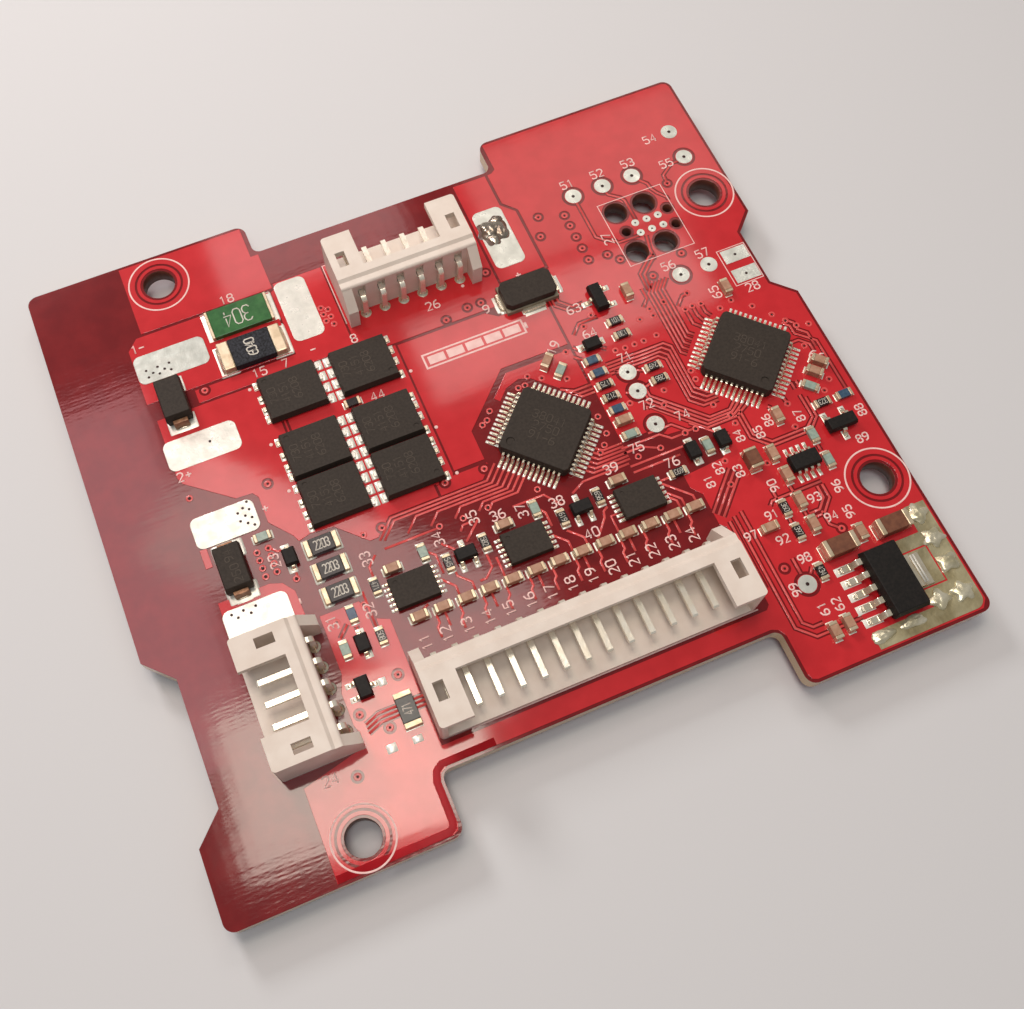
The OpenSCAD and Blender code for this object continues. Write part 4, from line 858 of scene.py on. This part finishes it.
landHigh = {"lead": 0.05, "broad": 0.07, "alone": 0.08, "drain": 0.1}
smallBodies = ("cell_capacitors", "small_capacitors", "black_resistors", "blue_resistors", "grey_resistors",
               "thermistor")
landed = [
    ("chip_ends", smallBodies, False, 0.15, 0.22, 0.06, 0.18, 0.6),
    ("large_capacitor_ends", ("large_capacitors",), False, 0.3, 0.24, 0.1, 0.2, 0.5),
    ("power_resistor_ends", ("power_resistors",), False, 0.3, 0.18, 0.2, 0.14, 0.6),
    ("film_shunt_ends", ("film_shunt",), False, 0.8, 0.5, 0.45, 0.0, 0.5),
    ("metal_shunt_ends", ("metal_shunt",), False, 0.3, 0.55, 0.5, 0.4, 0.6),
    ("power_transistor_leads", ("power_transistors",), True, 0.1, 0.42, 0.22, 0.3, 0.9),
    ("power_transistor_drains", ("power_transistors",), True, 0.05, 0.1, 0.1, 0.0, 0.5),
    ("monitor_chip_leads", ("monitor_chip",), True, 0.0, 0.36, 0.06, 0.28, 0.16),
    ("processor_chip_leads", ("processor_chip",), True, 0.0, 0.36, 0.06, 0.28, 0.16),
    ("driver_chip_leads", ("driver_chips",), True, 0.05, 0.3, 0.06, 0.25, 0.8),
    ("bus_chip_leads", ("bus_chip",), True, -0.2, 0.35, 0.12, 0.3, 0.2),
    ("regulator_leads", ("regulator",), True, -0.5, 0.75, 0.3, 0.55, 0.25),
    ("small_diode_leads", ("small_diodes",), True, 0.1, 0.4, 0.4, 0.3, 0.3),
    ("small_transistor_leads", ("small_transistors",), True, 0.05, 0.4, 0.25, 0.35, 0.25),
    ("clamp_diode_leads", ("clamp_diodes",), False, 0.0, 0.55, 0.25, 0.3, 0.15),
    ("fuse_ends", ("fuse_base",), False, 0.05, 0.45, 0.1, 0.3, 0.8),
]
lands = bmesh.new()
fillets = bmesh.new()


def addLand(x, y, halfX, halfY, high):
    stamp(lands, plateShape, facing(Vector((x, y, 0)), Vector((1, 0, 0)), halfX, halfY, high))


for nodeName, bodyNodes, longWays, inside, beyond, wider, reach, climb in landed:
    bodies = bodyMiddles(*bodyNodes)
    for points in islands(nodeName):
        mid, out, halfLong, halfWide, high = layout(points, bodies, longWays)
        landHalf = (2 * halfLong + inside + beyond) / 2
        landAt = mid + out * (halfLong + beyond - landHalf)
        stamp(lands, plateShape, facing(landAt, out, landHalf, halfWide + wider / 2, landHigh["lead"]))
        if reach:
            climbed = max(high * climb, 0.09)
            foot = mid + out * (halfLong - 0.02)
            stamp(fillets, filletShape, facing(foot, out, reach, halfWide * 1.04, climbed))
# a few lands stand alone
for x, y, halfX, halfY in (
        (-17.88, -23.2, 0.48, 0.42), (-15.56, -23.3, 0.48, 0.34), (-16.58, -17.56, 0.38, 0.38),
        (7.75, 13.0, 0.32, 1.0), (10.65, 11.45, 1.3, 0.32), (13.95, 13.0, 0.2, 0.95)):
    addLand(x, y, halfX, halfY, landHigh["alone"])
for y in (-3.75, -6.2, -8.6):
    for x in (-18.45, -15.75):
        addLand(x, y, 0.42, 1.0, landHigh["broad"])
for y, halfY in ((17.0, 0.95), (12.85, 0.95), (-1.05, 0.9), (-5.3, 0.88)):
    addLand(-25.13, y, 1.5, halfY, landHigh["broad"])
# broad drain lands, wide in the middle of the column and narrow at each package
drainMiddle = -10.68
for points in islands("power_transistor_drains"):
    spot = middle(points)
    side = math.copysign(1, spot.x - drainMiddle)
    addLand(drainMiddle + 0.39 * side, spot.y, 0.33, 0.53, landHigh["drain"])
    addLand(drainMiddle + 0.7 * side, spot.y, 0.2, 0.32, landHigh["broad"])
addPiece("partLands", lands, "landTin")
addPiece("solderFillets", fillets, "tin")
print("parts soldered")


# solder round the header contacts: a hollow collar on the board and one under it
collar = {"cut": 0.44,
          "upper": [(0.2, 0.42), (0.27, 0.4), (0.3, 0.24), (0.39, 0.12), (0.54, 0.05), (0.6, 0.0)],
          "lower": [(0.2, 0.78), (0.3, 0.75), (0.38, 0.45), (0.55, 0.2), (0.76, 0.07), (0.8, 0.0)]}
upperCollar = turned(collar["upper"], False, 20)
lowerCollar = turned(collar["lower"], False, 20)
underside = Matrix.Rotation(math.pi, 4, "X")
collars = bmesh.new()
for nodeName, towardsHousing in (("cell_header_contacts", Vector((0, -1, 0))),
                                 ("link_header_contacts", Vector((0, 1, 0))),
                                 ("charge_header_contacts", Vector((-1, 0, 0)))):
    for points in islands(nodeName):
        leg = middle([p for p in points if p.z < -boardThick - 0.5])
        flush = upperCollar.copy()
        bmesh.ops.bisect_plane(flush, geom=flush.verts[:] + flush.edges[:] + flush.faces[:],
                               plane_co=towardsHousing * collar["cut"], plane_no=towardsHousing,
                               clear_outer=True)
        closeHoles(flush)
        stamp(collars, flush, placed(leg.x, leg.y))
        flush.free()
        stamp(collars, lowerCollar, placed(leg.x, leg.y, -boardThick) @ underside)
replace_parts(addPiece("contactCollars", facesOut(collars), "tin"), "header_solder")


def dollop(target, x, y, radiusX, radiusY, high, lobes, depth, seed):
    # a hand-made blob of solder with an uneven rim
    bm = bmesh.new()
    bmesh.ops.create_icosphere(bm, subdivisions=4, radius=1)
    bmesh.ops.bisect_plane(bm, geom=bm.verts[:] + bm.edges[:] + bm.faces[:], plane_co=(0, 0, 0),
                           plane_no=-upright, clear_outer=True)
    closeHoles(bm)
    for vert in bm.verts:
        around = math.atan2(vert.co.y, vert.co.x)
        bulge = 1 + depth * math.cos(lobes * around + seed) * (1 - abs(vert.co.z))
        bulge += 0.12 * noise.noise(vert.co * 1.8 + Vector((seed, 0, 0)))
        lump = 1 + 0.25 * noise.noise(vert.co * 3.0 + Vector((0, seed, 0)))
        vert.co = Vector((vert.co.x * bulge * radiusX, vert.co.y * bulge * radiusY,
                          max(vert.co.z, 0) ** 1.1 * lump * high))
    stamp(target, facesOut(bm), placed(x, y, blobFoot))
    bm.free()


padHigh = 0.08
blobFoot = padHigh - 0.01
heatBlobs = bmesh.new()
for spot, (x, y) in enumerate(((33.88, -21.79), (33.97, -24.30), (33.95, -26.82), (33.72, -29.64),
                               (31.44, -29.55))):
    dollop(heatBlobs, x, y, 0.98, 0.88, 0.34, 4 + spot % 2, 0.24, spot * 1.7)
for spot, (x, y) in enumerate(((25.20, -30.53), (28.32, -30.41))):
    dollop(heatBlobs, x, y, 1.2, 0.56, 0.28, 3, 0.16, spot * 2.3)
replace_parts(addPiece("heatPadDollops", heatBlobs, "dollopTin"), "heat_pad_solder")
# the cable's solder: rough burnt lumps in a thin skin of flux
cableBlob = bmesh.new()
fluxSkin = bmesh.new()
for x, y, radiusX, radiusY, high, lobes, seed in (
        (10.35, 21.55, 1.15, 1.0, 0.5, 3, 0.6), (11.15, 21.35, 0.85, 1.1, 0.42, 2, 2.2),
        (10.2, 20.75, 0.7, 0.85, 0.3, 3, 4.1), (11.3, 22.5, 0.6, 0.5, 0.3, 2, 5.3)):
    dollop(cableBlob, x, y, radiusX, radiusY, high, lobes, 0.2, seed)
    dollop(fluxSkin, x - 0.05, y - 0.05, radiusX * 1.22, radiusY * 1.2, 0.09, lobes + 2, 0.14, seed + 1)
addPiece("cableSolder", cableBlob, "burntTin")
addPiece("cableFlux", fluxSkin, "flux")

# the tab's pressed ridges
tab = islands("regulator_tab")[0]
tabTop = max(p.z for p in tab)
tabLow, tabFar = min(p.y for p in tab) + 0.2, max(p.y for p in tab) - 0.2
tabLeft, tabRight = min(p.x for p in tab), max(p.x for p in tab)
ridges = [[(x, tabLow), (x, tabFar)] for x in (tabLeft + 0.36 * (tabRight - tabLeft),
                                               tabLeft + 0.52 * (tabRight - tabLeft))]
layLines("tabRidges", ridges, 0.16, 0.06, tabTop - 0.01, "landTin")

# small holes through the cable pads, drawn as dark spots of painted shade
padHoles = [
    (-26.71, 19.62), (-25.56, 19.63), (-24.4, 19.63), (-26.13, 19.15), (-24.98, 19.16), (-26.66, 18.83),
    (-25.56, 18.84), (-24.4, 18.85), (-22.09, 2.9), (-22.62, 2.42), (-23.2, 2.1), (-22.09, 2.1),
    (-22.62, 1.63), (-23.2, 1.26), (-22.09, 1.26), (-22.62, 0.84), (-22.09, 0.47), (-26.76, -6.88),
    (-25.65, -6.88), (-24.5, -6.88), (-26.28, -7.35), (-25.07, -7.35), (-23.31, 10.07),
]
holes = bmesh.new()
for x, y in padHoles:
    addSpot(holes, x, y, padHigh, 0.15, 0.12, 0.02, 12)
for nodeName, radius, high in (("test_pads", 0.19, 0.06), ("contact_pads", 0.11, 0.0),
                               ("select_pads", 0.16, 0.0)):
    for points in islands(nodeName):
        spot = middle(points)
        addSpot(holes, spot.x, spot.y, high or max(p.z for p in points), radius, radius * 0.85, 0.02, 12)
addPiece("padHoles", holes, "paintedHoleShade")
print("solder laid")


# numbers on the parts: plain figures on the resistors and the shunts
codes = []
for y in (-3.8, -6.2, -8.6):
    codes += writeLines("2203", -17.1, y, 0.85, 0, 0.72, 0.6)
codes += writeLines("471", -15.45, -20.7, 0.8, 90, 0.75, 0.6)
layLines("resistorNumbers", codes, 0.12, 0.01, 0.6, "paleInk")
layLines("greenShuntNumber", writeLines("304", -16.6, 21.7, 1.75, 180, 0.78, 0.72), 0.13, 0.012, 0.6,
         "paleInk")
layLines("blackShuntNumber", writeLines("6040", -16.5, 17.75, 0.95, 90, 0.62, 0.8), 0.14, 0.012, 0.9,
         "paleInk")
codes = []
for place, points in enumerate(islands("black_resistors")):
    mid, out, halfLong, halfWide, high = layout(points, [middle(points) + Vector((5, 3, 0))], True)
    turn = math.degrees(math.atan2(out.y, out.x))
    codes += writeLines(str(101 + 37 * place)[-3:], mid.x, mid.y, 0.5, turn, 0.78, 0.75)
layLines("smallNumbers", codes, 0.055, 0.008, 0.449, "paleInk", smooth=False)

# faint laser figures on the larger packages: name, width of a stroke, height over the board, lines
transistorLines = [line for x in (-14.4, -7.1) for y in (11.8, 5.37, 0.27)
                   for row, text in enumerate(("6208", "4151", "730"))
                   for line in writeLines(text, x + 0.4 - row * 1.15, y, 0.75, 90, 0.8)]
controllerLines = [line for x, y in ((6, -1.45), (27.05, -1.4))
                   for row, text in enumerate(("38041", "2750", "91-6"))
                   for line in writeLines(text, x + 0.75 - row * 0.75, y + 0.75 - row * 0.75, 0.8, -45, 0.85)]
clamp = min(islands("clamp_diodes"), key=lambda points: middle(points).y)
spot = middle(clamp)
clampLines = (writeLines("94", spot.x, spot.y + 0.9, 0.75, 90)
              + writeLines("250", spot.x + 0.2, spot.y - 0.9, 0.75, 90))
for name, wide, high, lines in (("transistorNumbers", 0.08, 1.048, transistorLines),
                                ("controllerNumbers", 0.08, 1.498, controllerLines),
                                ("clampNumber", 0.09, max(p.z for p in clamp) - 0.002, clampLines)):
    layLines(name, lines, wide, 0.006, high, "faintInk", smooth=False)
print("numbers printed")

# stage, lights and camera
stage = {"size": 900, "colour": srgb(214, 212, 211), "rough": 0.8, "shine": 0.2, "down": 0.02,
         "sky": (0.86, 0.88, 0.9, 1), "skyGlow": 0.26}
bm = bmesh.new()
bmesh.ops.create_grid(bm, x_segments=1, y_segments=1, size=stage["size"] * mm / 2)
floorMesh = bpy.data.meshes.new("floor")
bm.to_mesh(floorMesh)
bm.free()
floorFinish = bpy.data.materials.new("floorFinish")
floorFinish.use_nodes = True
floorShader = floorFinish.node_tree.nodes["Principled BSDF"]
floorShader.inputs["Base Color"].default_value = (*stage["colour"], 1)
floorShader.inputs["Roughness"].default_value = stage["rough"]
floorShader.inputs["Specular IOR Level"].default_value = stage["shine"]
floorMesh.materials.append(floorFinish)
floor = bpy.data.objects.new("floor", floorMesh)
scene.collection.objects.link(floor)
floor.location.z = -stage["down"] * mm

world = bpy.data.worlds.new("world")
scene.world = world
world.use_nodes = True
sky = world.node_tree.nodes["Background"]
sky.inputs["Color"].default_value = stage["sky"]
sky.inputs["Strength"].default_value = stage["skyGlow"]


def addPanel(name, place, target, width, depth, glow, colour=(1, 1, 1), turn=0):
    # glow is how bright the panel looks, so its power follows from its size
    light = bpy.data.lights.new(name, "AREA")
    light.shape = "RECTANGLE"
    light.size = width * mm
    light.size_y = depth * mm
    light.energy = glow * math.pi * width * depth * mm * mm
    light.color = colour
    lamp = bpy.data.objects.new(name, light)
    scene.collection.objects.link(lamp)
    lamp.location = Vector(place) * mm
    aim = (Vector(target) * mm - lamp.location).to_track_quat("-Z", "Y").to_matrix()
    lamp.rotation_euler = (Matrix.Rotation(math.radians(turn), 3, "Z") @ aim).to_euler()


# soft keys from behind and from above the front, then dim windows overhead whose reflections lie
# on the board: middle of the reflection, its length, width and turn, how bright, colour
eye = Vector((-19.02, -42.04, 102.5))
addPanel("backKey", (-75, 215, 175), (0, 0, 0), 70, 70, 19.0)
addPanel("frontTop", (-40, -75, 300), (0, 0, 0), 90, 90, 7.5)
ceiling = 303.0
grow = (ceiling + eye.z - 2 * boardTop / mm) / (eye.z - boardTop / mm)
for name, x, y, width, depth, turn, glow, colour in (
        ("windowSlant", -16.3, -7.2, 36, 12, -46, 5.0, (1, 0.88, 0.82)),
        ("windowFront", -21.0, -23.1, 22, 14, -7, 10.5, (1, 0.93, 0.8)),
        ("windowLeft", -33.0, -0.5, 10.4, 38, 0, 4.6, (1, 0.6, 0.62)),
        ("windowRight", 13.0, 10.0, 30, 9, 0, 3.2, (1, 0.92, 0.85)),
        ("windowSpot", 11.0, 9.0, 9, 7, -20, 7.0, (1, 0.95, 0.88)),
        ("windowBand", -7.0, 28.0, 20, 9, 0, 3.6, (1, 0.72, 0.7)),
        ("windowFar", 23.0, 24.0, 26, 15, 0, 1.8, (1, 0.9, 0.8))):
    overX, overY = eye.x + (x - eye.x) * grow, eye.y + (y - eye.y) * grow
    addPanel(name, (overX, overY, ceiling), (overX, overY, 0), width * grow, depth * grow, glow, colour, turn)

cameraData = bpy.data.cameras.new("camera")
cameraData.sensor_width = 36
cameraData.lens = 41.03
cameraData.shift_x = 0.0647
cameraData.shift_y = -0.0153
cameraData.clip_start = 0.005
camera = bpy.data.objects.new("camera", cameraData)
scene.collection.objects.link(camera)
camera.location = eye * mm
camera.rotation_euler = (0.39664, 0.01579, -0.38979)
scene.camera = camera
print("stage ready")
